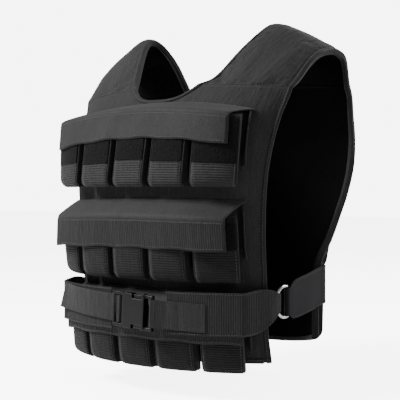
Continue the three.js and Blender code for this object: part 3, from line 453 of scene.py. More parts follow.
def quads(rows, columns, start=0, flip=False, closed=False):
    """Faces of a grid of points, row by row; closed joins the last column to the first."""
    r = np.arange(rows - 1)[:, None]
    c = np.arange(columns if closed else columns - 1)[None, :]
    after = (c + 1) % columns
    a, b = r * columns + c, r * columns + after
    d, e = (r + 1) * columns + c, (r + 1) * columns + after
    faces = np.stack([a, b, e, d], axis=-1).reshape(-1, 4) + start
    return faces[:, ::-1].tolist() if flip else faces.tolist()


def rim(rows, columns, layer):
    """Faces that close the edges between two like grids."""
    edge = [(0, c) for c in range(columns)]
    edge += [(r, columns - 1) for r in range(1, rows)]
    edge += [(rows - 1, c) for c in range(columns - 2, -1, -1)]
    edge += [(r, 0) for r in range(rows - 2, 0, -1)]
    ids = [r * columns + c for r, c in edge]
    after = ids[1:] + ids[:1]
    return [(a, a + layer, b + layer, b) for a, b in zip(ids, after)]


def fix_outward(obj):
    """Turns all faces of a closed mesh outwards."""
    mesh = bmesh.new()
    mesh.from_mesh(obj.data)
    bmesh.ops.recalc_face_normals(mesh, faces=mesh.faces)
    mesh.to_mesh(obj.data)
    mesh.free()
    return obj


def edge_fade(rows, columns):
    """1 inside a grid and 0 on its outermost points."""
    fade = np.ones((rows, columns))
    fade[0, :] = fade[-1, :] = fade[:, 0] = fade[:, -1] = 0
    return fade


def wall_object(name, outer, inner, ribbed=False):
    """Closed wall between two grids; where it is ribbed, its outer face is marked."""
    rows, columns = outer.shape[:2]
    count = rows * columns
    verts = np.concatenate([outer.reshape(-1, 3), inner.reshape(-1, 3)])
    faces = quads(rows, columns) + quads(rows, columns, count, flip=True) + rim(rows, columns, count)
    uv = grid_lengths(outer).reshape(-1, 2)
    mark = np.concatenate([edge_fade(rows, columns).ravel(), np.zeros(count)]) if ribbed else None
    return fix_outward(make_object(name, verts, faces, np.concatenate([uv, uv]), mark))


def grid_normals(grid):
    """Unit directions square to a grid of points."""
    return unit(np.cross(np.gradient(grid, axis=1), np.gradient(grid, axis=0)))


def sheet_wall(name, grid, wall, toward, ribbed=False):
    """Closed sheet of cloth of a given wall on a grid; toward says which way its face looks."""
    out = grid_normals(grid)
    middle = out[out.shape[0] // 2, out.shape[1] // 2]
    if np.dot(middle, toward) < 0:
        out = -out
    return wall_object(name, grid + out * wall / 2, grid - out * wall / 2, ribbed)


def loft_object(name, sections, closed=False):
    """Closed mesh through like outlines, with its ends shut unless it is a loop."""
    sections = np.asarray(sections)
    rows, columns = sections.shape[:2]
    verts = sections.reshape(-1, 3)
    faces = quads(rows, columns, closed=True)
    if closed:
        last = (rows - 1) * columns
        faces += [(last + c, last + (c + 1) % columns, (c + 1) % columns, c) for c in range(columns)]
    else:
        faces.append(list(range(columns)))
        faces.append(list(range(rows * columns - 1, (rows - 1) * columns - 1, -1)))
    uvs = grid_lengths(sections).reshape(-1, 2)
    return fix_outward(make_object(name, verts, faces, uvs))


def cord_object(name, path, radius):
    """Thin six-sided cord along a path."""
    tangent = unit(np.gradient(path, axis=0))
    side = np.cross(tangent, [0.0, 0.0, 1.0])
    weak = np.linalg.norm(side, axis=-1) < 0.2
    side[weak] = np.cross(tangent[weak], [1.0, 0.0, 0.0])
    side = unit(side)
    over = np.cross(side, tangent)
    angle = np.linspace(0, 2 * np.pi, 6, endpoint=False)
    ring = np.cos(angle)[None, :, None] * side[:, None] + np.sin(angle)[None, :, None] * over[:, None]
    return loft_object(name, path[:, None] + ring * radius)


def joined(name, objects):
    """One object from several, with their maps and marks kept."""
    bpy.ops.object.select_all(action="DESELECT")
    for obj in objects:
        obj.select_set(True)
    bpy.context.view_layer.objects.active = objects[0]
    if len(objects) > 1:
        bpy.ops.object.join()
    objects[0].name = name
    objects[0].data.name = name
    return objects[0]


def dress(obj, material, slot, *nodes):
    """Gives a piece its material, hangs it under the root and hides the frame nodes that it stands for; its
    slot is not used.
    """
    obj.data.materials.clear()
    obj.data.materials.append(material)
    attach(obj, "root")
    if nodes:
        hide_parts(*nodes)
    return obj


def refinish(obj, finish, faces):
    """Gives some faces of a dressed piece another finish."""
    obj.data.materials.append(material_named(finish))
    for index in faces:
        obj.data.polygons[index].material_index = 1


def apply_modifiers(obj):
    """Replaces a piece's mesh by what its modifiers make of it, and removes them."""
    depsgraph = bpy.context.evaluated_depsgraph_get()
    mesh = bpy.data.meshes.new_from_object(obj.evaluated_get(depsgraph))
    obj.modifiers.clear()
    old, obj.data = obj.data, mesh
    mesh.name = obj.name
    bpy.data.meshes.remove(old)
    return obj


made = {}


def once(make, *values):
    """What a function makes of some values, made the first time that it is asked for."""
    if (make, *values) not in made:
        made[(make, *values)] = make(*values)
    return made[(make, *values)]


# Node trees
def new_tree(name, kind, inputs, outputs):
    """Empty tree with its named inputs and outputs, and the nodes at its two ends."""
    tree = bpy.data.node_groups.new(name, kind)
    for way, sockets in (("INPUT", inputs), ("OUTPUT", outputs)):
        for label, sort, *default in sockets:
            socket = tree.interface.new_socket(label, in_out=way, socket_type=f"NodeSocket{sort}")
            if default:
                socket.default_value = default[0]
    return tree, tree.nodes.new("NodeGroupInput"), tree.nodes.new("NodeGroupOutput")


def add_node(tree, kind, inputs=None, **settings):
    """New node with its settings, and with its inputs set to values or linked to sockets."""
    node = tree.nodes.new(kind)
    for name, value in settings.items():
        setattr(node, name, value)
    for label, value in (inputs or {}).items():
        if isinstance(value, bpy.types.NodeSocket):
            tree.links.new(value, node.inputs[label])
        else:
            node.inputs[label].default_value = value
    return node


def math_node(tree, operation, *values):
    """Result of a math node with numbers or sockets as its inputs."""
    return add_node(tree, "ShaderNodeMath", dict(enumerate(values)), operation=operation).outputs[0]


def rib_wave(tree, flat, entry):
    """Wave from -1 to 1 over the ribs of a flat map, which lie across it or along it."""
    split = add_node(tree, "ShaderNodeSeparateXYZ", {0: flat})
    along = entry.outputs["Along"]
    across = math_node(tree, "MULTIPLY", split.outputs["X"], along)
    down = math_node(tree, "MULTIPLY", split.outputs["Y"], math_node(tree, "SUBTRACT", 1.0, along))
    place = math_node(tree, "DIVIDE", math_node(tree, "ADD", across, down), entry.outputs["Pitch"])
    return math_node(tree, "SINE", math_node(tree, "MULTIPLY", place, 2 * math.pi))


# Geometry node trees
def socket_id(tree, name):
    """Identifier of a tree's named input."""
    return next(item.identifier for item in tree.interface.items_tree
                if item.item_type == "SOCKET" and item.in_out == "INPUT" and item.name == name)


def node_modifier(obj, make, values):
    """Adds a tree to a piece with its named inputs set, and turns the result into a plain mesh."""
    tree = once(make)
    modifier = obj.modifiers.new(tree.name, "NODES")
    modifier.node_group = tree
    for name, value in values.items():
        modifier[socket_id(tree, name)] = value
    return apply_modifiers(obj)


def geometry_tree(name, numbers):
    """Empty geometry tree with named numbers and a material as its inputs."""
    shape = ("Geometry", "Geometry")
    numbers = [(label, "Float", value) for label, value in numbers]
    return new_tree(name, "GeometryNodeTree", [shape, *numbers, ("Material", "Material")], [shape])


def finish_tree(tree, entry, leave, geometry):
    """Ends a tree in plain geometry with its material."""
    plain = add_node(tree, "GeometryNodeRealizeInstances", {"Geometry": geometry})
    paint = add_node(tree, "GeometryNodeSetMaterial", {
        "Geometry": plain.outputs[0], "Material": entry.outputs["Material"]})
    tree.links.new(paint.outputs[0], leave.inputs[0])
    return tree


def rib_tree():
    """Tree that raises ribs across a webbing's face from its flat map."""
    tree, entry, leave = geometry_tree("Webbing Ribs", (
        ("Pitch", 0.0022), ("Height", 0.0004), ("Along", 0.0)))
    flat = add_node(tree, "GeometryNodeInputNamedAttribute", {"Name": "UVMap"},
                    data_type="FLOAT_VECTOR").outputs["Attribute"]
    ribbed = add_node(tree, "GeometryNodeInputNamedAttribute", {"Name": "ribbed"},
                      data_type="FLOAT").outputs["Attribute"]
    height = math_node(tree, "MULTIPLY", rib_wave(tree, flat, entry), entry.outputs["Height"])
    offset = add_node(tree, "ShaderNodeVectorMath", {
        0: add_node(tree, "GeometryNodeInputNormal").outputs[0],
        "Scale": math_node(tree, "MULTIPLY", height, ribbed)}, operation="SCALE")
    move = add_node(tree, "GeometryNodeSetPosition", {
        "Geometry": entry.outputs["Geometry"], "Offset": offset.outputs[0]})
    return finish_tree(tree, entry, leave, move.outputs[0])


def stitch_tree():
    """Tree that sets one thread stitch after another along each line of points."""
    tree, entry, leave = geometry_tree("Stitches", (
        ("Step", 0.004), ("Length", 0.0028), ("Radius", 0.0004)))
    lines = add_node(tree, "GeometryNodeMeshToCurve", {"Mesh": entry.outputs["Geometry"]})
    spots = add_node(tree, "GeometryNodeCurveToPoints", {
        "Curve": lines.outputs["Curve"], "Length": entry.outputs["Step"]}, mode="LENGTH")
    bead = add_node(tree, "GeometryNodeMeshUVSphere", {"Segments": 6, "Rings": 4, "Radius": 1.0})
    radius = entry.outputs["Radius"]
    half = math_node(tree, "MULTIPLY", entry.outputs["Length"], 0.5)
    size = add_node(tree, "ShaderNodeCombineXYZ", {"X": radius, "Y": radius, "Z": half})
    place = add_node(tree, "GeometryNodeInstanceOnPoints", {
        "Points": spots.outputs["Points"], "Instance": bead.outputs["Mesh"],
        "Rotation": spots.outputs["Rotation"], "Scale": size.outputs[0]})
    return finish_tree(tree, entry, leave, place.outputs[0])


def raise_ribs(obj, pitch, height, along, finish):
    """Raises ribs of a pitch on a webbing's face; height is a share of a pocket rib's."""
    node_modifier(obj, rib_tree, {
        "Pitch": pitch, "Height": sizes().rib_height * height, "Along": along,
        "Material": material_named(finish)})


# Materials
def shader_group(name, numbers, outputs):
    """Empty shader group with a vector and named numbers as its inputs, and numbers out."""
    inputs = [("Vector", "Vector"), *((label, "Float") for label in numbers)]
    return new_tree(name, "ShaderNodeTree", inputs, [(label, "Float") for label in outputs])


def use_group(tree, make, values):
    """Outputs of a shader group that is placed with its named inputs set."""
    return add_node(tree, "ShaderNodeGroup", values, node_tree=once(make)).outputs


def noise_node(tree, vector, scale, detail=2.0, roughness=0.5):
    """Smooth noise over a vector."""
    return add_node(tree, "ShaderNodeTexNoise", {
        "Vector": vector, "Scale": scale, "Detail": detail, "Roughness": roughness}).outputs["Fac"]


def steepened(tree, value, gain, shift):
    """A value with its contrast raised, kept from 0 to 1."""
    steep = math_node(tree, "MULTIPLY_ADD", value, gain, shift)
    return add_node(tree, "ShaderNodeClamp", {"Value": steep}).outputs[0]


def bump_node(tree, height, strength, distance, under=None):
    """Surface direction over a height, on top of another bump if there is one."""
    values = {"Strength": strength, "Distance": distance, "Height": height}
    if under:
        values["Normal"] = under
    return add_node(tree, "ShaderNodeBump", values).outputs[0]


def weave_group():
    """Plain weave from a flat map: thread height and a tone that varies thread by thread."""
    group, entry, leave = shader_group("Weave", ["Thread"], ["Height", "Tone"])
    split = add_node(group, "ShaderNodeSeparateXYZ", {0: entry.outputs["Vector"]})
    cells = [math_node(group, "DIVIDE", split.outputs[axis], entry.outputs["Thread"]) for axis in "XY"]
    rounds = [math_node(group, "ABSOLUTE", math_node(group, "SINE",
              math_node(group, "MULTIPLY", cell, math.pi))) for cell in cells]
    floors = [math_node(group, "FLOOR", cell) for cell in cells]
    turn = math_node(group, "FLOORED_MODULO", math_node(group, "ADD", *floors), 2.0)
    over = math_node(group, "MULTIPLY", rounds[0], turn)
    under = math_node(group, "MULTIPLY", rounds[1], math_node(group, "SUBTRACT", 1.0, turn))
    group.links.new(math_node(group, "ADD", over, under), leave.inputs["Height"])
    streak = add_node(group, "ShaderNodeCombineXYZ", {
        "X": floors[0], "Y": math_node(group, "MULTIPLY", floors[1], 0.07)})
    threads = noise_node(group, streak.outputs[0], 1.0, 1.0)
    group.links.new(steepened(group, threads, 2.6, -0.8), leave.inputs["Tone"])
    return group


def wear_group():
    """Slow change of tone over cloth, with lint and rubbed places."""
    group, entry, leave = shader_group("Cloth Wear", ["Scale"], ["Fade", "Lint", "Grain"])
    place, scale = entry.outputs["Vector"], entry.outputs["Scale"]
    group.links.new(noise_node(group, place, scale, 5.0, 0.6), leave.inputs["Fade"])
    fine = noise_node(group, place, math_node(group, "MULTIPLY", scale, LINT_FINENESS))
    specks = math_node(group, "MULTIPLY", math_node(group, "SUBTRACT", fine, 0.62), 6.0)
    group.links.new(add_node(group, "ShaderNodeClamp", {"Value": specks}).outputs[0],
                    leave.inputs["Lint"])
    slubs = noise_node(group, place, SLUB_SCALE)
    group.links.new(steepened(group, slubs, 4.0, -1.5), leave.inputs["Grain"])
    return group


def rib_shade_group():
    """Ribs of a webbing from its flat map: a mask of painted shade in the valleys between them."""
    group, entry, leave = shader_group("Ribs", ["Pitch", "Along"], ["Valley"])
    wave = rib_wave(group, entry.outputs["Vector"], entry)
    shade = math_node(group, "MULTIPLY_ADD", wave, -0.5, 0.5)
    group.links.new(math_node(group, "POWER", shade, 1.5), leave.inputs["Valley"])
    return group


def streak_group():
    """Long soft streaks and broader patches down a cloth: a mask that bumps it into soft folds and lightens
    it along them as painted sheen.
    """
    group, entry, leave = shader_group("Streaks", ["Width"], ["Streak"])
    split = add_node(group, "ShaderNodeSeparateXYZ", {0: entry.outputs["Vector"]})
    pull = add_node(group, "ShaderNodeCombineXYZ", {
        "X": math_node(group, "DIVIDE", split.outputs["X"], entry.outputs["Width"]),
        "Y": math_node(group, "MULTIPLY", split.outputs["Y"], 22.0)})
    field = noise_node(group, pull.outputs[0], 1.0, 3.0, 0.6)
    group.links.new(steepened(group, field, 3.0, -1.0), leave.inputs["Streak"])
    return group


def mix_colours(tree, factor, first, second, strength=1.0):
    """Colour between two, by a mask at some strength."""
    if strength != 1.0:
        factor = math_node(tree, "MULTIPLY", factor, strength)
    ends = [value if isinstance(value, bpy.types.NodeSocket) else (*value, 1.0)
            for value in (first, second)]
    return add_node(tree, "ShaderNodeMix", {"Factor": factor, "A": ends[0], "B": ends[1]},
                    data_type="RGBA").outputs["Result"]


def scaled(colour, factor):
    """A colour made lighter or darker."""
    return tuple(min(1.0, channel * factor) for channel in colour)


def shader(name, roughness, sheen=0.0, metallic=0.0, specular=0.5):
    """Material with its Principled shader and the values that are the same all over."""
    material = bpy.data.materials.new(name)
    material.use_nodes = True
    tree = material.node_tree
    surface = tree.nodes["Principled BSDF"]
    surface.inputs["Roughness"].default_value = roughness
    surface.inputs["Metallic"].default_value = metallic
    surface.inputs["Sheen Weight"].default_value = sheen
    surface.inputs["Sheen Roughness"].default_value = 0.5
    surface.inputs["Specular IOR Level"].default_value = specular
    return material, tree, surface


def cloth_material(name, colour, thread, roughness, sheen=0.04, relief=0.00012, contrast=0.3,
                   grain=9.0, rib=None, streak=0.006, specular=0.12, pull=0.35):
    """Woven cloth: weave with a painted highlight on its thread crowns, ribs with painted shade in their
    valleys, and soft fold streaks with painted sheen on the flat map; slow wear in its own space.
    """
    material, tree, surface = shader(name, roughness, sheen, specular=specular)
    coordinates = add_node(tree, "ShaderNodeTexCoord").outputs
    flat = coordinates["UV"]
    weave = use_group(tree, weave_group, {"Vector": flat, "Thread": thread})
    wear = use_group(tree, wear_group, {"Vector": coordinates["Object"], "Scale": grain})
    # The streak mask bumps the cloth into soft folds and lightens it along them as painted sheen.
    fold_sheen_streaks = use_group(tree, streak_group, {"Vector": flat, "Width": streak})["Streak"]
    light = scaled(colour, 1 + contrast)
    base = mix_colours(tree, wear["Fade"], scaled(colour, 1 - contrast), light)
    worn = mix_colours(tree, wear["Fade"], light, scaled(colour, 2.2))
    woven = mix_colours(tree, weave["Tone"], scaled(colour, 0.35), worn)
    tone = mix_colours(tree, wear["Fade"], base, woven)
    # Thread crowns are lightened by the weave height as a painted highlight; the streaks lighten as painted
    # sheen on the folds; the grain darkens at random.
    for mask, factor, strength in ((fold_sheen_streaks, 1.9, 0.45), (weave["Height"], 1.6, 0.35),
                                   (wear["Grain"], 0.25, 0.55)):
        tone = mix_colours(tree, mask, tone, scaled(colour, factor), strength)
    if rib:
        pitch, share, along, depth = rib
        ribs = use_group(tree, rib_shade_group, {
            "Vector": flat, "Pitch": getattr(sizes(), pitch) * share, "Along": along})
        # Rib valleys are darkened toward a dark copy of the colour: painted shade between the raised ribs.
        tone = mix_colours(tree, ribs["Valley"], tone, scaled(colour, 0.12), depth)
    tone = mix_colours(tree, wear["Lint"], tone, scaled(colour, 4.0), 0.1)
    tree.links.new(tone, surface.inputs["Base Color"])
    rough = math_node(tree, "MULTIPLY_ADD", wear["Fade"], 0.2, roughness - 0.1)
    tree.links.new(rough, surface.inputs["Roughness"])
    soft = bump_node(tree, fold_sheen_streaks, pull, 0.0025)
    tree.links.new(bump_node(tree, weave["Height"], 0.6, relief, soft), surface.inputs["Normal"])
    return material


def pile_material(name, colour):
    """Loop pile: a matt, mottled surface of tiny loops, with painted shade between them."""
    material, tree, surface = shader(name, 0.95, 0.03, specular=0.05)
    coordinates = add_node(tree, "ShaderNodeTexCoord").outputs
    loops = add_node(tree, "ShaderNodeTexVoronoi", {
        "Vector": coordinates["UV"], "Scale": LOOP_SCALE}).outputs["Distance"]
    fade = use_group(tree, wear_group, {"Vector": coordinates["Object"], "Scale": 260.0})["Fade"]
    base = mix_colours(tree, fade, scaled(colour, 0.1), scaled(colour, 2.6))
    # Colour darkens away from each loop's middle: painted shade in the gaps between the loops.
    tree.links.new(mix_colours(tree, loops, base, scaled(colour, 0.3)), surface.inputs["Base Color"])
    tree.links.new(bump_node(tree, loops, 0.9, 0.0009), surface.inputs["Normal"])
    return material


def plastic_material(name, colour):
    """Moulded plastic: fine satin grain, a little dust and lighter handled places."""
    material, tree, surface = shader(name, 0.35, specular=0.14)
    place = add_node(tree, "ShaderNodeTexCoord").outputs["Object"]
    fade = use_group(tree, wear_group, {"Vector": place, "Scale": 30.0})["Fade"]
    tone = mix_colours(tree, fade, scaled(colour, 0.7), scaled(colour, 1.6))
    tree.links.new(tone, surface.inputs["Base Color"])
    rough = math_node(tree, "MULTIPLY_ADD", fade, 0.2, 0.22)
    tree.links.new(rough, surface.inputs["Roughness"])
    grain = noise_node(tree, place, GRAIN_SCALE)
    tree.links.new(bump_node(tree, grain, 0.25, 0.00008), surface.inputs["Normal"])
    return material


def steel_material(name, colour):
    """Bright steel wire with duller and brighter places."""
    material, tree, surface = shader(name, 0.2, metallic=1.0)
    place = add_node(tree, "ShaderNodeTexCoord").outputs["Object"]
    fade = use_group(tree, wear_group, {"Vector": place, "Scale": 80.0})["Fade"]
    tone = mix_colours(tree, fade, scaled(colour, 0.8), scaled(colour, 1.1))
    tree.links.new(tone, surface.inputs["Base Color"])
    rough = math_node(tree, "MULTIPLY_ADD", fade, 0.25, 0.1)
    tree.links.new(rough, surface.inputs["Roughness"])
    return material


# Ribs of a cloth: the pitch they take, its share, across (0) or along (1) the map, and how dark their
# valleys are painted as shade
POCKET_RIBS = ("rib_pitch", 1.0, 0.0, 0.9)
# The lower rows' ribs get fainter painted valley shade.
FAINT_RIBS = ("rib_pitch", 1.0, 0.0, 0.5)
BELT_RIBS = ("belt_rib_pitch", 1.0, 1.0, 0.9)
BAND_RIBS = ("belt_rib_pitch", BAND_PITCH, 1.0, 0.9)
# Finishes: what makes them, their name, their colour in the panel, its factor, and the rest
FINISHES = {
    "cloth": (cloth_material, "Body Cloth", "cloth", 1.0, {"thread": 0.0013, "roughness": 0.8}),
    # Inside of the walls: the lining's own dark cloth darkened much further, with almost no specular, as
    # painted shade of the vest's inside.
    "lining": (cloth_material, "Lining", "lining", 1.0, {
        "thread": 0.0006, "roughness": 0.9, "sheen": 0.0, "specular": 0.02, "pull": 0.05}),
    # Pocket bodies and end gussets: cloth far darker than the body cloth, as painted shade in the gaps
    # between and under the pockets.
    "pocket": (cloth_material, "Pocket Cloth", "pocket", 1.0, {"thread": 0.0007, "roughness": 0.82}),
    "flap": (cloth_material, "Flap Cloth", "flap", 1.0, {
        "thread": 0.0013, "roughness": 0.72, "streak": 0.02, "pull": 0.12}),
    "ribbed": (cloth_material, "Ribbed Flap", "flap", 1.0, {
        "thread": 0.0009, "roughness": 0.72, "rib": BELT_RIBS, "streak": 0.012}),
    "webbing": (cloth_material, "Ribbed Webbing", "webbing", 1.0, {
        "thread": 0.0006, "roughness": 0.7, "relief": 0.0001, "grain": 14.0, "rib": POCKET_RIBS,
        "streak": 0.014}),
    # Webbing of the lower rows: the same webbing at half its colour, with fainter rib shade and less
    # specular, as painted shade under the wide flaps above them.
    "shaded": (cloth_material, "Lower Webbing", "webbing", 0.5, {
        "thread": 0.0006, "roughness": 0.75, "relief": 0.0001, "grain": 14.0, "rib": FAINT_RIBS,
        "streak": 0.014, "specular": 0.08}),
    "belting": (cloth_material, "Ribbed Belting", "webbing", 0.8, {
        "thread": 0.0006, "roughness": 0.7, "grain": 12.0, "rib": BELT_RIBS, "streak": 0.014}),
    "band": (cloth_material, "Buckle Webbing", "webbing", 1.0, {
        "thread": 0.0005, "roughness": 0.65, "relief": 0.00008, "rib": BAND_RIBS, "streak": 0.01}),
    "strap": (cloth_material, "Strap Cloth", "strap", 1.0, {
        "thread": 0.0011, "roughness": 0.6, "relief": 0.00006, "contrast": 0.2, "grain": 12.0,
        "streak": 0.06, "specular": 0.06, "pull": 0.08}),
    "tape": (cloth_material, "Binding Tape", "tape", 1.0, {
        "thread": 0.0007, "roughness": 0.75, "grain": 20.0}),
    "thread": (cloth_material, "Sewing Thread", "thread", 1.0, {"thread": 0.0004, "roughness": 0.6}),
    "pile": (pile_material, "Loop Pile", "pile", 1.0, {}),
    "buckle": (plastic_material, "Buckle Plastic", "buckle", 1.0, {}),
    # Bevelled rims of the buckle: its plastic at 110 times the colour, a painted highlight where light
    # catches the edges.
    "buckle_edge": (plastic_material, "Buckle Edges", "buckle", 110.0, {}),
    "ring": (steel_material, "Ring Steel", "ring", 1.0, {}),
}


def make_finish(name):
    """A finish of the vest, in the colour and the sizes that the panel shows."""
    make, label, colour, factor, settings = FINISHES[name]
    shade = getattr(bpy.context.scene.vest_looks, f"{colour}_colour")
    return make(label, scaled(shade, factor), **settings)


def material_named(name):
    return once(make_finish, name)


# Padded walls
def settle_pad(obj, held):
    """Blows a closed pad up against its held seams and keeps what it moved, up to a cap."""
    rest = np.array([v.co for v in obj.data.vertices])
    keep = obj.vertex_groups.new(name="held")
    weights = held.ravel()
    for i in np.nonzero(weights)[0]:
        keep.add([int(i)], float(weights[i]), "REPLACE")
    cloth = obj.modifiers.new("Cloth", "CLOTH")
    cloth.settings.quality = 4
    cloth.settings.vertex_group_mass = "held"
    cloth.settings.use_pressure = True
    cloth.settings.uniform_pressure_force = PAD_PRESSURE
    cloth.settings.shrink_min = PAD_SHRINK
    cloth.settings.effector_weights.gravity = 0
    cloth.point_cache.frame_start, cloth.point_cache.frame_end = 1, PAD_STEPS
    for step in range(1, PAD_STEPS + 1):
        bpy.context.scene.frame_set(step)
    depsgraph = bpy.context.evaluated_depsgraph_get()
    moved = np.array([v.co for v in obj.evaluated_get(depsgraph).data.vertices])
    obj.modifiers.clear()
    obj.vertex_groups.clear()
    bpy.context.scene.frame_set(1)
    shift = moved - rest
    size = np.linalg.norm(shift, axis=1, keepdims=True)
    shift = shift * np.minimum(1, PAD_CAP * MM / np.maximum(size, 1e-9))
    obj.data.vertices.foreach_set("co", (rest + shift).ravel())
    obj.data.update()


def smooth_once(obj):
    """One applied subdivision."""
    modifier = obj.modifiers.new("Smooth", "SUBSURF")
    modifier.levels = modifier.render_levels = 1
    apply_modifiers(obj)


class VestLooks(bpy.types.PropertyGroup):
    """Colours of the vest's cloths, plastic and steel."""

    def colour(label, words, default):
        return bpy.props.FloatVectorProperty(
            name=label, description=words, subtype="COLOR", size=3, min=0, max=1, default=default)

    cloth_colour: colour("Body", "Woven cloth of the panels and shoulders", (0.0074, 0.0074, 0.008))
    # The lining colour is set far below the body cloth as painted shade of the inside.
    lining_colour: colour("Lining", "Cloth on the wearer's side", (0.0009, 0.0009, 0.001))
    # The pocket cloth is darkened as painted shade in the gaps between the pockets.
    pocket_colour: colour("Pockets", "Cloth of the pockets' sides", (0.0016, 0.0016, 0.0018))
    flap_colour: colour("Flaps", "Cloth of the cover flaps", (0.0082, 0.0082, 0.0088))
    webbing_colour: colour("Webbing", "Ribbed belt and pocket faces", (0.0088, 0.0088, 0.0095))
    strap_colour: colour("Side Straps", "Smooth straps behind the rings", (0.0022, 0.0023, 0.0033))
    tape_colour: colour("Tape", "Binding folded over the edges", (0.0046, 0.0046, 0.005))
    thread_colour: colour("Thread", "Sewing thread", (0.034, 0.034, 0.037))
    pile_colour: colour("Loop Pile", "Loop patches on the pockets", (0.0022, 0.0022, 0.0024))
    buckle_colour: colour("Buckle", "Moulded plastic of the buckle", (0.0008, 0.0008, 0.001))
    ring_colour: colour("Rings", "Steel of the side rings", (0.6, 0.6, 0.62))


class VestSizes(bpy.types.PropertyGroup):
    """Sizes of the cloth work that the frame leaves open."""

    def length(label, words, default):
        return bpy.props.FloatProperty(
            name=label, description=words, subtype="DISTANCE", unit="LENGTH", min=0, default=default)

    rib_pitch: length("Rib Pitch", "Distance between the ribs of a pocket's face", 0.0034)
    rib_height: length("Rib Height", "Height of a rib above the middle of the webbing", 0.0004)
    belt_rib_pitch: length("Belt Rib Pitch", "Distance between the ribs of the belt", 0.0032)
    stitch_step: length("Stitch Step", "Distance from one stitch to the next", 0.0042)
    stitch_length: length("Stitch Length", "Length of a stitch", 0.003)
    stitch_radius: length("Stitch Radius", "Half the thickness of a stitch", 0.00045)
    tape_leg: length("Tape Leg", "Width of the binding on each face", 0.0055)
    tape_wall: length("Tape Wall", "Thickness of the binding", 0.0009)


def sizes():
    return bpy.context.scene.vest_sizes


# Panels and shoulders
def panel_grid(panel, rows, columns):
    """Places (across, level) over a panel, from hem to top and edge to edge."""
    across = np.sin(np.linspace(-1, 1, columns) * np.pi / 2 * 0.86) / math.sin(math.pi / 2 * 0.86)
    down = np.linspace(0, 1, rows)[:, None]
    level = mix(panel.hem_level(across)[None, :], panel.top_level(across)[None, :], down)
    return np.broadcast_to(across[None, :], level.shape), level


def pocket_zone(panel, across, level):
    """1 where pockets and flaps cover a panel's face and 0 where it shows."""
    zone = np.zeros(np.shape(level))
    inside = 1 - ease(np.abs(across), 0.86, 0.93)
    for row in panel.rows:
        below = ease(level, row.root - 0.012, row.root + 0.01)
        above = 1 - ease(level, row.bottom - 0.01, row.bottom + 0.015)
        zone = np.maximum(zone, below * above * inside)
    return zone


def panel_object(panel):
    """Padded panel with soft pulls and puckers where its face shows."""
    across, level = panel_grid(panel, 92, 108)
    outer = panel.point(across, level)
    out = panel.normal(across, level)
    inner = outer - out * PANEL_WALL
    free = 1 - pocket_zone(panel, across, level)
    inset = ease(1 - np.abs(across), 0.005, 0.08) * ease(level - panel.top_level(across), 0.0, 0.03)
    ripple = (1.1 * wrinkle(outer, 0.02, 3.1, (1.6, 1, 0.7)) + 0.6 * wrinkle(outer, 0.055, 8.4))
    outer = outer + out * ((ripple * free * inset) - 0.25 * (1 - free) * inset)[..., None]
    soft = 1.6 * wrinkle(inner, 0.012, 5.7) + 0.7 * wrinkle(inner, 0.04, 1.9)
    inner = inner + out * (soft * inset)[..., None]
    return wall_object(f"{panel.name}_panel", hung(outer), hung(inner))


class VEST_OT_panels(bpy.types.Operator):
    """Make the padded front and back panels"""

    bl_idname = "vest.panels"
    bl_label = "Panels"

    def execute(self, context):
        for panel in (front, back):
            obj = dress(panel_object(panel), material_named("cloth"), "cloth", f"{panel.name}_panel")
            half = len(obj.data.vertices) // 2
            # The inner faces take the lining, darkened as painted shade of the inside.
            refinish(obj, "lining", [p.index for p in obj.data.polygons if max(p.vertices) >= half])
        return {"FINISHED"}


def shoulder_object(name, side):
    """Padded shoulder strap, swollen between its seams and creased towards them."""
    rows, columns = 76, 40
    along = np.linspace(-0.0012, 1.0012, rows)[:, None]
    across = np.linspace(0, 1, columns)[None, :]
    along, across = np.broadcast_arrays(along, across)
    out = shoulder_normal(along, across)
    swell = shoulder_swell(along, across)
    face = shoulder_point(along, across)
    pulls = ease(along, 0.0, 0.06) * (1 - ease(along, 0.25, 0.62))
    edge = ease(across, 0.0, 0.15) * ease(1 - across, 0.0, 0.15)
    creases = np.sin(across * 21 + 2.2 * wrinkle(face, 0.018, 2.2)) * pulls * edge
    slow = wrinkle(face, 0.022, 6.3 + side) * edge * ease(along, 0, 0.1)
    outer = face + out * (swell * 0.8 + 0.7 * creases + slow)[..., None]
    inner = face - out * (PANEL_WALL + swell * 0.9)[..., None]
    obj = wall_object(name, hung(mirror(outer, side)), hung(mirror(inner, side)))
    held = np.zeros((2, rows, columns))
    held[:, :2, :] = held[:, -2:, :] = 1
    held[:, :, :2] = held[:, :, -2:] = 1
    held[:, TIED_ROWS, :] = TIED_SHARE
    settle_pad(obj, held)
    smooth_once(obj)
    outside = 4 * (rows - 1) * (columns - 1)
    return obj, range(outside, len(obj.data.polygons))


class VEST_OT_shoulders(bpy.types.Operator):
    """Make the two padded shoulders"""

    bl_idname = "vest.shoulders"
    bl_label = "Shoulders"

    def execute(self, context):
        for name, side in SIDES:
            obj, lined = shoulder_object(f"shoulder_{name}", side)
            dress(obj, material_named("cloth"), "cloth", f"shoulder_{name}")
            # The inner faces take the lining, darkened as painted shade of the inside.
            refinish(obj, "lining", lined)
            for along in SHOULDER_SEAMS:
                across = np.linspace(0.05, 0.95, 40)
                lift = shoulder_swell(along, across) * 0.8 + 0.4
                seam = shoulder_point(along, across) + shoulder_normal(along, across) * lift[:, None]
                stitch_lines.append(hung(mirror(seam, side)))
        return {"FINISHED"}


# Binding tapes
def fold_outline(leg, height, past, bend, swell):
    """Outline of one side of a folded tape: reach in from the edge, and height from the middle."""
    angle = np.linspace(0, np.pi / 2, 5)
    corner = [(-past + bend - bend * math.sin(a), height - bend + bend * math.cos(a)) for a in angle]
    half = [(leg, height), (leg * 0.5, height + swell), *corner]
    return half + [(a, -b) for a, b in reversed(half)]


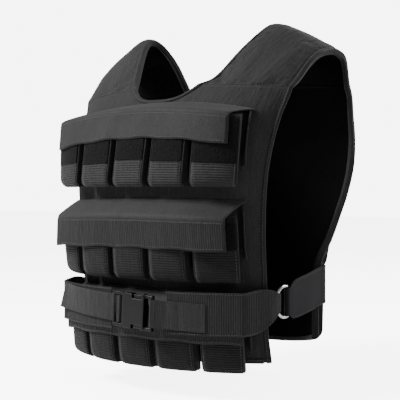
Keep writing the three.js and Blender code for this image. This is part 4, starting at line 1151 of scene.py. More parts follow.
def tape_sections(face, lining, inward_face, inward_lining):
    """Outlines of a binding along an edge that is given by its points on both faces."""
    leg, wall = sizes().tape_leg / MM, sizes().tape_wall / MM
    half = PANEL_WALL / 2
    outside = fold_outline(leg, half + TAPE_LIFT + wall, TAPE_EDGE_GAP + wall, 2.2, 0.15)
    inside = fold_outline(leg, half + TAPE_LIFT, TAPE_EDGE_GAP, 1.3, 0.0)
    profile = np.array(outside + inside[::-1])
    through = unit(face - lining)
    tangent = unit(np.gradient(face, axis=0))
    ways = []
    for way in (inward_face, inward_lining):
        way = way - tangent * np.sum(way * tangent, axis=-1, keepdims=True)
        ways.append(unit(way))
    reach, height = profile[:, 0], profile[:, 1]
    share = np.clip((height + half) / (2 * half), 0, 1)[None, :, None]
    base = mix(lining[:, None], face[:, None], share)
    way = mix(ways[1][:, None], ways[0][:, None], share)
    beyond = np.sign(height) * np.maximum(np.abs(height) - half, 0)
    ripple = 0.25 * wrinkle(face, 0.06, 4.4)[:, None, None]
    return (base + way * reach[None, :, None]
            + through[:, None] * (beyond[None, :, None] + ripple * np.sign(beyond)[None, :, None]))


def wall_edge(face, out, near, near_out):
    """An edge of a padded wall: its points on both faces and the directions in from it."""
    lining = face - out * PANEL_WALL
    return face, lining, near - face, (near - near_out * PANEL_WALL) - lining


def panel_edge(panel, across, level, in_across, in_level):
    return wall_edge(panel.point(across, level), panel.normal(across, level),
                     panel.point(in_across, in_level), panel.normal(in_across, in_level))


def shoulder_edge(side, across, in_across):
    """The neck or arm edge of a shoulder, from the front seam to the back one."""
    along = np.linspace(0.004, 0.996, 70)
    parts = wall_edge(shoulder_point(along, across), shoulder_normal(along, across),
                      shoulder_point(along, in_across), shoulder_normal(along, in_across))
    return tuple(mirror(part, side) for part in parts)


def chained(*runs):
    """Several stretches of edge as one."""
    return tuple(np.concatenate(parts) for parts in zip(*runs))


def backwards(run):
    return tuple(part[::-1] for part in run)


def armhole_edge(side):
    """Edge from the front hem over the shoulder to the back hem."""
    def upright(panel):
        level = np.linspace(float(panel.hem_level(1.0)), float(panel.top_level(1.0)) + 0.002, 90)
        one = np.full(90, float(side))
        return panel_edge(panel, one, level, one * 0.97, level)
    return chained(upright(front), shoulder_edge(side, 1.0, 0.96), backwards(upright(back)))


def neck_edge():
    """Closed edge round the neck."""
    def across(panel):
        share = np.linspace(-0.985, 0.985, 60) * panel.share
        level = panel.top_level(share)
        return panel_edge(panel, share, level, share * 0.98, level + 0.02)
    return chained(across(front), shoulder_edge(1, 0.0, 0.04), backwards(across(back)),
                   backwards(shoulder_edge(-1, 0.0, 0.04)))


def hem_edge(panel):
    """Lower edge of a panel between its armhole tapes."""
    share = np.linspace(-0.955, 0.955, 110)
    level = panel.hem_level(share)
    return panel_edge(panel, share, level, share, level - 0.02)


class VEST_OT_tapes(bpy.types.Operator):
    """Bind the armholes, the neck and the hems with folded tape"""

    bl_idname = "vest.tapes"
    bl_label = "Edge Tapes"

    def execute(self, context):
        edges = {
            "armhole_tape_left": (armhole_edge(1), False),
            "armhole_tape_right": (armhole_edge(-1), False),
            "neck_tape": (neck_edge(), True),
            "front_hem": (hem_edge(front), False),
            "back_hem": (hem_edge(back), False),
        }
        for name, (edge, closed) in edges.items():
            obj = loft_object(name, hung(tape_sections(*edge)), closed)
            dress(obj, material_named("tape"), "tape", name)
            face, lining, inward, _ = edge
            line = hung(face + unit(inward) * TAPE_STITCH_IN + unit(face - lining) * TAPE_STITCH_UP)
            stitch_lines.append(np.concatenate([line, line[:1]]) if closed else line)
        return {"FINISHED"}


# Pockets
def pocket_crown(away, step):
    """How far a pocket's front bulges, by how far off its middle and how far up a place is."""
    rise = np.sin(np.pi * np.minimum(1.0, step * 0.9 + 0.1)) ** 0.7
    return POCKET_CROWN * (1 - away ** 2) * rise


def pocket_sections(panel, row, place, columns):
    """Outlines of a pocket at lengths across it, full of its bar and tight at its seams."""
    half = POCKET_WIDTH / 2
    foot = -row.bottom * DROP
    is_last = row.bottom > LAST_ROW
    turn = np.linspace(0, np.pi / 2, 7)
    up, over = np.linspace(0, 1, 10), np.linspace(0, 1, 6)[1:-1]
    face_up = np.linspace(0, 1, 26)[1:]
    radius = POCKET_BOTTOM_ROUND / POCKET_DEPTH
    stand = (LAST_POCKET_STAND if is_last else POCKET_STAND) / POCKET_DEPTH
    back_foot = foot + POCKET_BOTTOM_ROUND / 2
    if is_last:
        back_foot = max(back_foot, -float(panel.hem_level(1.0)) * DROP + 8.0)
    sections = []
    for share in columns:
        length = panel.middle(place) + share * half
        away = abs(share)
        side = (half * (1 - away)) / POCKET_SIDE_ROUND
        round_off = 0.0
        if side < 1:
            round_off = POCKET_SIDE_ROUND / POCKET_DEPTH * (1 - math.sqrt(1 - (1 - side) ** 2))
        top = float(row.line("fold", length)) - POCKET_TOP_GAP
        back_top = float(row.line("root", length)) - POCKET_BACK_GAP
        face = 1 - round_off
        depth = np.concatenate([
            np.full(len(up), POCKET_BACK_SHARE), [stand], face - radius + radius * np.sin(turn),
            face + pocket_crown(away, face_up), mix(face, POCKET_BACK_SHARE, over)])
        height = np.concatenate([
            mix(back_top, back_foot, up), [foot + 1.0], foot + POCKET_BOTTOM_ROUND * (1 - np.cos(turn)),
            mix(foot + POCKET_BOTTOM_ROUND, top, face_up), mix(top, back_top, over)])
        sections.append(panel.in_row(row, length, height, depth))
    return np.array(sections)


def facing_way(panel):
    """Level direction out of the middle of a panel's face."""
    return np.array([0.0, float(panel.facing), 0.0])


def pocket_columns():
    """Shares across a pocket, close together at its rounded sides."""
    side = 1 - (POCKET_SIDE_ROUND / (POCKET_WIDTH / 2)) * np.array([0, 0.08, 0.25, 0.5, 0.8, 1.05])
    inner = np.linspace(side[-1], -side[-1], 15)[1:-1]
    return np.concatenate([side, inner, -side[::-1]])[::-1]


def pocket_object(name, panel, index, place):
    """Body of one pocket, with soft dents in its cloth."""
    sections = pocket_sections(panel, panel.rows[index], place, pocket_columns())
    dent = 0.35 * wrinkle(sections, 0.07, place + 7.0 * index)
    return loft_object(name, sections + facing_way(panel) * dent[..., None])


def face_grid(panel, row, place, half_width, low, high, lift, rows, columns):
    """Grid of points on a pocket's front, from low to high shares of its outline's length."""
    middle = panel.middle(place)
    lengths = middle + np.linspace(-half_width, half_width, columns)
    foot = -row.bottom * DROP
    radius = POCKET_BOTTOM_ROUND
    arc = radius * math.pi / 2
    tops = row.line("fold", lengths) - POCKET_TOP_GAP
    grid = np.zeros((rows, columns, 3))
    for c, length in enumerate(lengths):
        away = abs(length - middle) / (POCKET_WIDTH / 2)
        straight = tops[c] - (foot + radius)
        run = np.linspace(low * (arc + straight), high * (arc + straight), rows)
        on_arc = run < arc
        angle = np.clip(run / radius, 0, math.pi / 2)
        step = np.clip((run - arc) / straight, 0, 1)
        depth = np.where(on_arc, 1 - radius / POCKET_DEPTH * (1 - np.sin(angle)),
                         1 + pocket_crown(away, step))
        depth = depth + lift / POCKET_DEPTH * np.where(on_arc, np.sin(angle), 1)
        z = np.where(on_arc, foot + radius * (1 - np.cos(angle)) - lift * np.cos(angle),
                     foot + radius + run - arc)
        grid[:, c] = panel.in_row(row, length, z, depth)
    return grid


class VEST_OT_pockets(bpy.types.Operator):
    """Make the rows of loaded pockets"""

    bl_idname = "vest.pockets"
    bl_label = "Pockets"

    def execute(self, context):
        for panel in (front, back):
            for index in range(len(panel.rows)):
                for place in range(1, panel.pockets + 1):
                    node = f"pocket_{panel.name}_{index + 1}_{place}"
                    obj = pocket_object(node, panel, index, place)
                    # Pocket bodies take the pocket cloth, darkened as painted shade between them.
                    dress(obj, material_named("pocket"), "pocket", node)
        return {"FINISHED"}


class VEST_OT_pocket_faces(bpy.types.Operator):
    """Face the pockets with ribbed webbing, loop pile and piped edges"""

    bl_idname = "vest.pocket_faces"
    bl_label = "Pocket Faces"

    def execute(self, context):
        for panel in (front, back):
            toward = facing_way(panel)
            for index, row in enumerate(panel.rows):
                faces, piles, cords = [], [], []
                for place in range(1, panel.pockets + 1):
                    top = 0.37 + 0.02 * math.sin(2.4 * place) if index == 0 else 0.56
                    web = face_grid(panel, row, place, WEB_HALF, 0.03, top, WEB_LIFT, 118, 9)
                    faces.append(sheet_wall("face", web, WEB_WALL, toward, ribbed=True))
                    pile = face_grid(panel, row, place, PILE_HALF, top + 0.004, 0.97, PILE_LIFT, 46, 34)
                    fuzz = 0.22 * wrinkle(pile, 0.9, 2.0 + place) * edge_fade(46, 34)
                    pile = pile + grid_normals(pile) * fuzz[..., None]
                    piles.append(sheet_wall("pile", pile, PILE_WALL, toward))
                    edge = face_grid(panel, row, place, CORD_HALF, 0.05, 0.97, CORD_LIFT, 60, 2)
                    seam = face_grid(panel, row, place, SEAM_HALF, 0.06, 0.95, SEAM_LIFT, 60, 2)
                    for side in (0, 1):
                        cords.append(cord_object("cord", edge[:, side], CORD_RADIUS))
                        stitch_lines.append(seam[:, side])
                name = f"{panel.name}_{index + 1}"
                # Rows below the first take the half-colour webbing, painted shade under the flaps above
                # them.
                finish = "webbing" if index == 0 else "shaded"
                face = joined(f"pocket_webbing_{name}", faces)
                raise_ribs(face, sizes().rib_pitch, 1.0, 0.0, finish)
                dress(face, material_named(finish), "webbing")
                dress(joined(f"pocket_pile_{name}", piles), material_named("pile"), "pocket")
                dress(joined(f"pocket_piping_{name}", cords), material_named("tape"), "tape")
        return {"FINISHED"}


# Flaps
def flap_front(panel, row, share, fall, offset):
    """Point on the front of a flap: share out from the centre line, fall from fold to edge."""
    length = share * row.flap_half
    z = mix(row.line("fold", length), row.line("low", length), fall)
    extra = (FLAP_CLEAR + FLAP_WALL + offset
             + row.flare * POCKET_DEPTH * np.abs(share) ** 2 * (0.5 + 0.5 * fall))
    return panel.front_of_row(row, length, z, extra)


def flap_root(panel, row, share, offset):
    """Point on the seam of a flap."""
    length = share * row.root_half
    return panel.on_face(length, row.line("root", length), offset)


def flap_sag(panel, length, fall, seed):
    """How far a flap's cloth hangs in between the pockets and ripples at its edge."""
    shift = 0.5 * (panel.pockets % 2 == 0)
    between = 0.5 - 0.5 * np.cos(2 * np.pi * (length / panel.pitch + shift))
    share = length / 150.0
    ripple = np.array([noise.noise((float(s) * 4.0, float(f) * 0.8, seed)) for s, f in
                       zip(np.ravel(share), np.ravel(np.broadcast_to(fall, np.shape(share))))])
    return -0.9 * between * fall + 1.3 * ripple.reshape(np.shape(share)) * (0.3 + 0.7 * fall)


def flap_grid(panel, row, shares, rows_top, rows_front, lift=0.0, start=0.0, end=1.0):
    """Grid over a flap from its seam over the fold to its lower edge."""
    lines = []
    share = np.asarray(shares, float)
    seed = 3.0 * (row.root + panel.facing)
    root = flap_root(panel, row, share, np.full_like(share, 0.9 + lift))
    corner = flap_front(panel, row, share, np.zeros_like(share), -FLAP_WALL / 2 + lift)
    first = flap_front(panel, row, share, np.full_like(share, 0.1), -FLAP_WALL / 2 + lift)
    near = mix(root, corner, 0.86)
    if start <= 0:
        for step in np.linspace(0, 1, rows_top):
            line = mix(root, near, step)
            line[..., 2] += 0.8 * math.sin(math.pi * step)
            lines.append(line)
        for step in (0.25, 0.5, 0.75):
            lines.append(mix(mix(near, corner, step), mix(corner, first, step), step))
    length, level = share * row.flap_half, np.full_like(share, row.fold)
    out = panel.normal(panel.across_at(length, level), level, flat=True)
    for fall in np.linspace(max(start, 0.1), end, rows_front):
        line = flap_front(panel, row, share, np.full_like(share, fall), -FLAP_WALL / 2 + lift)
        weight = float(ease(fall, 0.08, 0.5))
        line = line + out * (flap_sag(panel, length, fall, seed) * weight)[:, None]
        line[..., 2] += 0.9 * np.cos(2 * np.pi * length / panel.pitch + seed) * fall * weight
        lines.append(line)
    return np.array(lines)


def gusset_object(panel, row, side, name):
    """Folded end gusset that hangs beside the last pocket."""
    inner = row.row_half + GUSSET_CLEAR
    root_z = float(row.line("root", inner))
    fall = root_z - float(row.line("fold", inner))
    depth = GUSSET_DEPTH / POCKET_DEPTH
    head, foot = root_z - FLAP_WALL / 2, root_z - GUSSET_DROP
    up = np.linspace(0, 1, 26)[:, None]
    out = np.linspace(0.03, 1, 12)[None, :]
    tops = head - fall * depth * out
    z = mix(foot, tops, up)
    wave = 0.9 * np.sin(out * 5.0) * np.sin(up * 3.1)
    grid = panel.in_row(row, side * (inner + GUSSET_WALL / 2 + wave), z, out * depth)
    return sheet_wall(name, grid, GUSSET_WALL, np.array([side, 0, 0])), grid


class VEST_OT_flaps(bpy.types.Operator):
    """Make the cover flaps with their facings, gussets and stitching"""

    bl_idname = "vest.flaps"
    bl_label = "Flaps"

    def execute(self, context):
        for panel in (front, back):
            for index, row in enumerate(panel.rows):
                name = f"flap_{panel.name}_{index + 1}"
                shares = np.linspace(-1, 1, 141)
                grid = flap_grid(panel, row, shares, 9, 20)
                flap = sheet_wall(name, grid, FLAP_CLOTH_WALL, facing_way(panel))
                ribbed = not (panel is front and index == 0)
                count = 640 if ribbed else 161
                wide = np.linspace(-0.988, 0.988, count)
                cover = flap_grid(panel, row, wide, 0, 16, FACING_LIFT, 0.13, 0.985)
                facing = sheet_wall(f"{name}_facing", cover, FACING_WALL, facing_way(panel),
                                    ribbed=True)
                if ribbed:
                    raise_ribs(facing, sizes().belt_rib_pitch, 0.5, 1.0, "ribbed")
                gussets, edges = [], []
                for side in (-1, 1):
                    gusset, place = gusset_object(panel, row, side, "gusset")
                    gussets.append(gusset)
                    edges.append(cord_object("edge", place[:, -1], GUSSET_CORD_RADIUS))
                dress(flap, material_named("flap"), "flap", name)
                dress(facing, material_named("ribbed" if ribbed else "flap"), "flap")
                # The end gussets take the pocket cloth, darkened as painted shade.
                side_walls = dress(joined(f"{name}_gussets", gussets), material_named("pocket"), "flap")
                piping = dress(joined(f"{name}_gusset_edges", edges), material_named("tape"), "tape")
                width, run = grid_lengths(grid)[-1, -1]
                for fall in (0.17, 0.93):
                    line = flap_grid(panel, row, np.linspace(-0.97, 0.97, 120), 0, 2,
                                     FLAP_SEAM_LIFT, fall, fall + 0.01)
                    stitch_lines.append(line[0])
                stitch_lines.append(
                    flap_grid(panel, row, np.linspace(-0.98, 0.98, 120), 9, 2, 0.95)[1])
        return {"FINISHED"}


# Belt, straps and webbing
def catmull(path, step):
    """Smooth path through stations, sampled evenly; further columns are read along it."""
    path = np.asarray(path, float)
    length = np.concatenate([[0], np.cumsum(np.linalg.norm(np.diff(path[:, :2], axis=0), axis=1))])
    count = max(8, int(length[-1] / step))
    at = np.linspace(0, length[-1], count)
    return np.stack([curve(length, path[:, i], at) for i in range(path.shape[1])], axis=1), at


def band_object(name, stations, wall, step, rows, face=1.0, ribs=True):
    """Band on edge along a path seen from above: columns x, y, middle height, half width, lean."""
    path, at = catmull(stations, step)
    tangent = unit(np.gradient(path[:, :2], axis=0))
    side = np.stack([tangent[:, 1], -tangent[:, 0]], axis=1) * face
    share = np.concatenate([[-1, -0.985, -0.95], np.linspace(-0.9, 0.9, rows), [0.95, 0.985, 1]])
    selvedge = 0.25 * (np.abs(share) > 0.93) - 0.55 * (np.abs(share) > 0.99)
    z = path[:, 2][:, None] + share[None, :] * path[:, 3][:, None]
    shift = 0.0
    if path.shape[1] > 4:
        shift = path[:, 4][:, None] * share[None, :] * path[:, 3][:, None]
    soft = 0.25 * np.array([noise.noise((a * 0.03, 1.7, 0.3)) for a in at])[:, None]
    layers = []
    for sign in (1, -1):
        off = sign * (wall / 2 + selvedge)[None, :] + soft
        layers.append(points(path[:, 0][:, None] + side[:, 0][:, None] * off + shift,
                             path[:, 1][:, None] + side[:, 1][:, None] * off, z))
    obj = wall_object(name, *layers, ribbed=ribs)
    uv = obj.data.uv_layers[0].data
    values = np.empty(len(uv) * 2)
    uv.foreach_get("uv", values)
    uv.foreach_set("uv", values.reshape(-1, 2)[:, ::-1].ravel())
    return obj, path, side


BELT_Z = -0.845 * DROP
RING_Z = -0.82 * DROP
FRONT_EDGE = front.point(1.0, 0.82)
BACK_EDGE = back.point(1.0, 0.82)
RING_X = float(FRONT_EDGE[0]) + 6.0
FOLD_TURN = RING_WIRE / 2 + GAP + BELT_WALL / 2
RING_Y = float(mix(FRONT_EDGE[1], BACK_EDGE[1], 0.27))
FLAP_END = front.rows[2].flap_half + 2


def fold_reach(width):
    """Distance from a ring's middle to a band of a given width that lies in it."""
    return math.sqrt((RING_RADIUS - RING_WIRE / 2 - 2 * GAP) ** 2 - (width / 2) ** 2)


def belt_on_flap(length, offset):
    """Point in front of the lowest front flap where the belt crosses it."""
    row = front.rows[2]
    share = length / row.flap_half
    low = BELT_Z - BELT_WIDTH / 2
    head, edge = float(row.line("fold", length)), float(row.line("low", length))
    fall = (low - head) / (edge - head)
    flare = row.flare * POCKET_DEPTH * abs(share) ** 2 * (0.5 + 0.5 * fall)
    extra = FLAP_CLEAR + FLAP_WALL + flare + 1.0 + offset
    one = np.array([length], float)
    spots = [front.front_of_row(row, one, np.array([z], float), extra)[0] for z in (low, head)]
    return min(spots, key=lambda spot: spot[1])


def fold_stations(y, heading, half):
    """Stations of a band's half turn round a ring, from outside to inside."""
    return [(RING_X + FOLD_TURN * math.cos(a), y + heading * FOLD_TURN * math.sin(a), RING_Z, half)
            for a in np.linspace(0, np.pi, 7)]


def belt_stations(inner):
    """Stations of the belt's left half, from its inner end over the flap to the ring and back."""
    path = []
    for length in np.linspace(inner, FLAP_END, 9):
        x, y, _ = belt_on_flap(length, BELT_WALL / 2)
        path.append((x, y, BELT_Z, BELT_WIDTH / 2))
    turn = FOLD_TURN
    fold_y = RING_Y - fold_reach(BELT_END_WIDTH) - turn + BELT_WALL / 2
    edge_y = float(FRONT_EDGE[1])
    path.append((RING_X - BELT_WALL, edge_y - 22, mix(BELT_Z, RING_Z, 0.3), BELT_WIDTH / 2))
    path.append((RING_X + turn, edge_y, mix(BELT_Z, RING_Z, 0.7), mix(BELT_END_WIDTH, BELT_WIDTH, 0.6) / 2))
    path += fold_stations(fold_y, 1, BELT_END_WIDTH / 2)
    path.append((RING_X - turn, fold_y - 10, RING_Z, BELT_END_WIDTH / 2))
    path.append((RING_X + turn - BELT_WALL - GAP, edge_y, mix(BELT_Z, RING_Z, 0.8), BELT_END_WIDTH / 2))
    return path


def strap_stations():
    """Stations of the left side strap, from the back panel round its edge to the ring and back."""
    turn = FOLD_TURN
    middle = -0.781 * DROP
    level = -middle / DROP
    run = back.point(np.linspace(0, 1, 51), np.full(51, level))
    reach = float(np.linalg.norm(np.diff(run, axis=0), axis=1).sum())
    clear = GAP + 1.42 + 0.9 + BELT_WALL / 2
    levels = [level + part * STRAP_WIDTH / 2 / DROP for part in (-1, 0, 1)]
    path = []
    for share in (0, 0.5, 0.85):
        length = reach - STRAP_SEWN * (1 - share)
        depths = [float(back.on_face(length, -lev * DROP, clear)[1]) for lev in levels]
        x = float(back.on_face(length, middle, clear)[0])
        path.append((x, max(depths) + 4 * GAP, middle, STRAP_WIDTH / 2))
    fold_y = RING_Y + fold_reach(STRAP_FOLD_WIDTH) + turn - BELT_WALL / 2
    corner = path[-1]
    edge_x = max(float(back.point(1.0, lev)[0]) for lev in levels)

    def at(x, y, share, half):
        path.append((x, y, mix(RING_Z, middle, share), half))

    wide = STRAP_WIDTH / 2
    at(edge_x + clear * 0.9, corner[1] - clear * 0.1, 0.97, wide)
    at(edge_x + clear * 1.3, corner[1] - clear * 1.5, 0.93, wide)
    at(edge_x + clear * 1.3, corner[1] - clear * 4.5, 0.85, wide)
    half_way = (mix(RING_X + turn, corner[0], 0.4) + 2, mix(fold_y, corner[1], 0.5))
    at(half_way[0], half_way[1], 0.45, wide)
    at(RING_X + turn, fold_y + 12, 0.1, mix(STRAP_FOLD_WIDTH, STRAP_WIDTH, 0.8) / 2)
    path += fold_stations(fold_y, -1, STRAP_FOLD_WIDTH / 2)
    at(RING_X - turn, fold_y + 18, 0.15, STRAP_FOLD_WIDTH / 2)
    at(half_way[0] - BELT_WALL - GAP, half_way[1], 0.45, STRAP_FOLD_WIDTH / 2)
    return path


def on_side(path, side):
    """The same stations on the left (1) or on the right (-1)."""
    return [(spot[0] * side, *spot[1:]) for spot in path]


def band_lines(path, side, share, offset, low, high):
    """Two stitched lines along a band, near its edges, between two shares of its length."""
    count = len(path)
    cut = path[int(low * count):int(high * count)]
    away = side[int(low * count):int(high * count)]
    return [points(cut[:, 0] + away[:, 0] * offset, cut[:, 1] + away[:, 1] * offset,
                   cut[:, 2] + sign * share * cut[:, 3]) for sign in (1, -1)]


class VEST_OT_belt(bpy.types.Operator):
    """Make the two halves of the ribbed belt"""

    bl_idname = "vest.belt"
    bl_label = "Belt"

    def execute(self, context):
        for name, side in SIDES:
            inner = BUCKLE_LENGTH / 2 + side * BUCKLE_OFF_CENTRE + BELT_INSET
            obj, path, away = band_object(
                f"belt_{name}", on_side(belt_stations(inner), side), BELT_WALL, 0.5, 7, face=side)
            raise_ribs(obj, sizes().belt_rib_pitch, 0.55, 1.0, "belting")
            dress(obj, material_named("belting"), "webbing", f"belt_{name}")
            stitch_lines.extend(band_lines(path, away, 0.93, BELT_WALL / 2 + 0.5, 0.0, 0.66))
        return {"FINISHED"}


class VEST_OT_side_straps(bpy.types.Operator):
    """Make the smooth straps from the back panel to the rings"""

    bl_idname = "vest.side_straps"
    bl_label = "Side Straps"

    def execute(self, context):
        for name, side in SIDES:
            obj, path, away = band_object(
                f"side_strap_{name}", on_side(strap_stations(), side), BELT_WALL, 1.0, 15,
                face=-side, ribs=False)
            dress(obj, material_named("strap"), "strap", f"side_strap_{name}")
            stitch_lines.extend(band_lines(path, away, 0.9, BELT_WALL / 2 + 0.4, 0.02, 0.6))
        return {"FINISHED"}


class VEST_OT_rings(bpy.types.Operator):
    """Make the two round steel rings"""

    bl_idname = "vest.rings"
    bl_label = "Rings"

    def execute(self, context):
        turn = np.linspace(0, 2 * np.pi, 96, endpoint=False)[:, None]
        wire = np.linspace(0, 2 * np.pi, 20, endpoint=False)[None, :]
        thick = RING_WIRE / 2 * 0.98
        for name, side in SIDES:
            radius = RING_RADIUS + thick * np.cos(wire)
            rings = points(side * RING_X + thick * np.sin(wire) + 0 * turn,
                           RING_Y + radius * np.cos(turn), RING_Z + radius * np.sin(turn))
            obj = loft_object(f"ring_{name}", rings, closed=True)
            dress(obj, material_named("ring"), "ring", f"ring_{name}")
        return {"FINISHED"}


def bevelled_copy(node):
    """Copy of a frame node with its flats cleaned and its edges rounded in a lighter finish of their own, a
    painted highlight along the rims.
    """
    obj = placed(f"{node}_moulded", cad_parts[node].data.copy())
    mesh = bmesh.new()
    mesh.from_mesh(obj.data)
    bmesh.ops.remove_doubles(mesh, verts=mesh.verts, dist=1e-6)
    bmesh.ops.dissolve_limit(mesh, angle_limit=math.radians(2), verts=mesh.verts, edges=mesh.edges)
    sharp = [edge for edge in mesh.edges if edge.calc_face_angle(0) > math.radians(35)]
    bmesh.ops.bevel(mesh, geom=sharp, offset=BUCKLE_BEVEL, segments=3, profile=0.5, affect="EDGES",
                    clamp_overlap=False, material=1)
    mesh.to_mesh(obj.data)
    mesh.free()
    obj.data.materials.clear()
    for finish in ("buckle", "buckle_edge"):
        obj.data.materials.append(material_named(finish))
    obj.data.shade_smooth()
    even = obj.modifiers.new("Flats", "WEIGHTED_NORMAL")
    even.weight = 100
    return apply_modifiers(obj)


class VEST_OT_buckle(bpy.types.Operator):
    """Make the two moulded halves of the side-release buckle"""

    bl_idname = "vest.buckle"
    bl_label = "Buckle"

    def execute(self, context):
        for node in ("buckle_male", "buckle_female"):
            obj = bevelled_copy(node)
            # The rounded rims take the lighter finish as a painted highlight.
            edges = [p.index for p in obj.data.polygons if p.material_index]
            dress(obj, material_named("buckle"), "buckle", node)
            refinish(obj, "buckle_edge", edges)
        return {"FINISHED"}


def laid_on_belt(length, count):
    """Place of the webbing on the belt, over a number of layers of itself."""
    layer = GAP + WEBBING_WALL / 2 + count * (WEBBING_WALL + GAP)
    x, y, _ = belt_on_flap(length, BELT_WALL + layer)
    return x, y


def webbing_level(x):
    """Height of the middle of the webbing, which tilts with the buckle."""
    return BELT_Z - math.tan(BUCKLE_TILT) * (x - BUCKLE_OFF_CENTRE)


def webbing_stations(spots):
    """Adds height, half width and lean to places along the webbing."""
    path = []
    for x, y in spots:
        fade = np.clip((abs(x - BUCKLE_OFF_CENTRE) / BUCKLE_LENGTH - 0.3) / 0.5, 0, 1)
        slant = END_SLANT * float(ease(-x, FREE_END_REACH - 45, FREE_END_REACH))
        path.append((x, y, webbing_level(x), WEBBING_WIDTH / 2,
                     math.tan(BUCKLE_TILT) * (1 - fade) + slant))
    return path


def bar_turn(x, y, heading):
    """Half turn of the webbing round a bar of the buckle, from its back to its front."""
    radius = BUCKLE_BAR / 2 + 1.5 * GAP + WEBBING_WALL / 2
    return [(x + heading * radius * math.sin(a), y + radius * math.cos(a))
            for a in np.linspace(0, np.pi, 7)]


class VEST_OT_webbing(bpy.types.Operator):
    """Make the adjustable webbing and the sewn webbing on the buckle"""

    bl_idname = "vest.webbing"
    bl_label = "Buckle Webbing"

    def execute(self, context):
        buckle_y = belt_on_flap(BUCKLE_OFF_CENTRE, BELT_WALL + BUCKLE_DEPTH / 2 + GAP / 2)[1]
        fold_y = BUCKLE_DEPTH / 2 - GAP - WEBBING_WALL - GAP - BUCKLE_BAR / 2
        start = BUCKLE_LENGTH / 2 - BUCKLE_OFF_CENTRE
        stops = np.linspace(start, FLAP_END, 9)
        under = [laid_on_belt(-stops[i], 0) for i in (2, 1)]
        over = [laid_on_belt(-stop, 1) for stop in stops[1:7]]
        slope = (over[-1][1] - over[-2][1]) / (over[-1][0] - over[-2][0])
        loose = []
        for share in (0.5, 1):
            x = mix(over[-1][0], -FREE_END_REACH, share)
            loose.append((x, over[-1][1] + slope * (x - over[-1][0])))
        bar_x = BUCKLE_OFF_CENTRE - 0.358 * BUCKLE_LENGTH
        under_bar = (BUCKLE_OFF_CENTRE - 0.476 * BUCKLE_LENGTH,
                     buckle_y + BUCKLE_DEPTH * 0.084 + GAP + WEBBING_WALL / 2)
        tail = [*under, *bar_turn(bar_x, buckle_y + fold_y, 1), under_bar, *over, *loose]
        start = BUCKLE_OFF_CENTRE + BUCKLE_LENGTH / 2
        stops = np.linspace(start, FLAP_END, 9)
        places = [(start + 7, 1.4), (stops[1] + 4, 1), (stops[1] + 12, 0), (stops[2], 0),
                  (stops[3], 0), (stops[4] + 6, 0)]
        patch = [laid_on_belt(stops[1] + 4, 0), laid_on_belt(stops[0] + 6, 0),
                 *bar_turn(BUCKLE_OFF_CENTRE + 0.45 * BUCKLE_LENGTH, buckle_y, -1),
                 *[laid_on_belt(length, count) for length, count in places]]
        for name, spots, face in (("webbing_tail", tail, 1), ("webbing_patch", patch, -1)):
            obj, _, _ = band_object(name, webbing_stations(spots), WEBBING_WALL, 0.45, 9, face=face)
            raise_ribs(obj, sizes().belt_rib_pitch * BAND_PITCH, 0.35, 1.0, "band")
            dress(obj, material_named("band"), "webbing", name)
        self.box_stitch()
        return {"FINISHED"}

    def box_stitch(self):
        """Stitched box with a cross on the sewn webbing."""
        def spot(x, part):
            _, y = laid_on_belt(x, 0)
            return (x, y - WEBBING_WALL / 2 - 0.5, webbing_level(x) + part * WEBBING_WIDTH / 2)
        low, high, top = 78.0, 105.0, 0.85
        box = [(low, top), (high, top), (high, -top), (low, -top), (low, top), (high, -top)]
        for run in (box, [(high, top), (low, -top)]):
            line = []
            for (xa, pa), (xb, pb) in zip(run, run[1:]):
                line += [spot(mix(xa, xb, t), mix(pa, pb, t)) for t in np.linspace(0, 1, 12)]
            stitch_lines.append(np.array(line))


class VEST_OT_stitches(bpy.types.Operator):
    """Sew the seams with rows of thread stitches"""

    bl_idname = "vest.stitches"
    bl_label = "Stitches"

    def execute(self, context):
        verts, edges = [], []
        for line in stitch_lines:
            first = len(verts)
            verts += (np.asarray(line) * MM).tolist()
            edges += [(first + i, first + i + 1) for i in range(len(line) - 1)]
        mesh = bpy.data.meshes.new("stitches")
        mesh.from_pydata(verts, edges, [])
        obj = placed("stitches", mesh)
        node_modifier(obj, stitch_tree, {
            "Step": sizes().stitch_step, "Length": sizes().stitch_length,
            "Radius": sizes().stitch_radius, "Material": material_named("thread")})
        obj.data.shade_smooth()
        dress(obj, material_named("thread"), "tape")
        return {"FINISHED"}


# Stage
def area_light(name, place, target, size, power):
    """Soft light that looks at a point."""
    light = bpy.data.lights.new(name, "AREA")
    light.shape = "DISK"
    light.size = size
    light.energy = power
    obj = placed(name, light)
    obj.location = place
    obj.rotation_euler = (Vector(target) - Vector(place)).to_track_quat("-Z", "Y").to_euler()


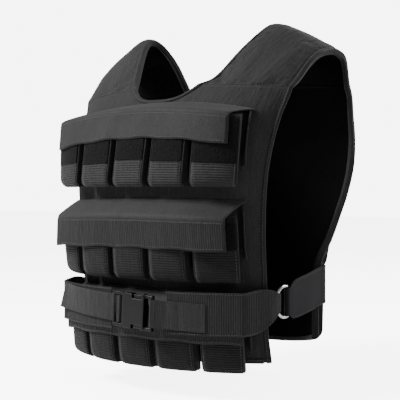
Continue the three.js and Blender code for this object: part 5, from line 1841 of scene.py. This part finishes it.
class VEST_OT_stage(bpy.types.Operator):
    """Set the pale floor, the soft lights and the camera"""

    bl_idname = "vest.stage"
    bl_label = "Stage"

    def execute(self, context):
        floor_z = float(cad_box[0].z) - 0.04
        mesh = bpy.data.meshes.new("floor")
        reach, wall = 14.0, 9.0
        mesh.from_pydata([(-reach, -reach, floor_z), (reach, -reach, floor_z),
                          (reach, wall, floor_z), (-reach, wall, floor_z)], [], [(0, 1, 2, 3)])
        floor = placed("floor", mesh)
        material, tree, surface = shader("Pale Floor", 0.9, specular=0.1)
        surface.inputs["Base Color"].default_value = (0.95, 0.95, 0.95, 1)
        surface.inputs["Emission Color"].default_value = (1, 1, 1, 1)
        seen = tree.nodes.new("ShaderNodeLightPath").outputs["Is Camera Ray"]
        tree.links.new(math_node(tree, "MULTIPLY", seen, 5.6), surface.inputs["Emission Strength"])
        mesh.materials.append(material)
        world = bpy.data.worlds.new("Studio")
        world.use_nodes = True
        sky = world.node_tree
        background = sky.nodes["Background"]
        background.inputs["Color"].default_value = (1, 1, 1, 1)
        seen = sky.nodes.new("ShaderNodeLightPath").outputs["Is Camera Ray"]
        sky.links.new(math_node(sky, "MULTIPLY_ADD", seen, 6.5, 0.36), background.inputs["Strength"])
        context.scene.world = world
        middle = (0.0, 0.0, -0.2)
        area_light("Key", (-0.95, -1.35, 1.15), (0.0, -0.1, 0.0), 0.8, 150)
        area_light("Fill", (2.4, -0.9, 0.9), middle, 1.8, 30)
        area_light("Back", (0.9, 2.0, 1.1), middle, 1.6, 75)
        self.place_camera(context)
        return {"FINISHED"}

    def place_camera(self, context):
        """Camera at the height and turn of the reference view."""
        camera = bpy.data.cameras.new("camera")
        camera.lens = 90
        camera.sensor_width = 36
        camera.clip_end = 60
        obj = placed("camera", camera)
        obj.location = (0.936, -1.227, -0.218)
        forward = Vector((-0.616, 0.788, -0.008)) + Vector((0.788, 0.616, 0)) * 0.0029
        obj.rotation_euler = forward.to_track_quat("-Z", "Y").to_euler()
        context.scene.camera = obj


class VEST_PT_panel(bpy.types.Panel):
    """Lists the pieces of the vest with their sizes and colours"""

    bl_label = "Weighted Vest"
    bl_space_type = "VIEW_3D"
    bl_region_type = "UI"
    bl_category = "Vest"

    def draw(self, context):
        for operator in steps:
            self.layout.operator(operator.bl_idname)
        for group in (context.scene.vest_sizes, context.scene.vest_looks):
            box = self.layout.box()
            for name in group.bl_rna.properties.keys():
                if name not in ("rna_type", "name"):
                    box.prop(group, name)


steps = (VEST_OT_panels, VEST_OT_shoulders, VEST_OT_tapes, VEST_OT_pockets, VEST_OT_pocket_faces,
         VEST_OT_flaps, VEST_OT_belt, VEST_OT_side_straps, VEST_OT_rings, VEST_OT_buckle,
         VEST_OT_webbing, VEST_OT_stitches, VEST_OT_stage)
classes = (VestLooks, VestSizes, *steps, VEST_PT_panel)


def register():
    for item in classes:
        bpy.utils.register_class(item)
    bpy.types.Scene.vest_looks = bpy.props.PointerProperty(type=VestLooks)
    bpy.types.Scene.vest_sizes = bpy.props.PointerProperty(type=VestSizes)


def unregister():
    del bpy.types.Scene.vest_sizes
    del bpy.types.Scene.vest_looks
    for item in reversed(classes):
        bpy.utils.unregister_class(item)


def main():
    """Registers the add-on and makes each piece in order."""
    register()
    for operator in steps:
        group, name = operator.bl_idname.split(".")
        getattr(getattr(bpy.ops, group), name)()


if __name__ == "__main__":
    main()
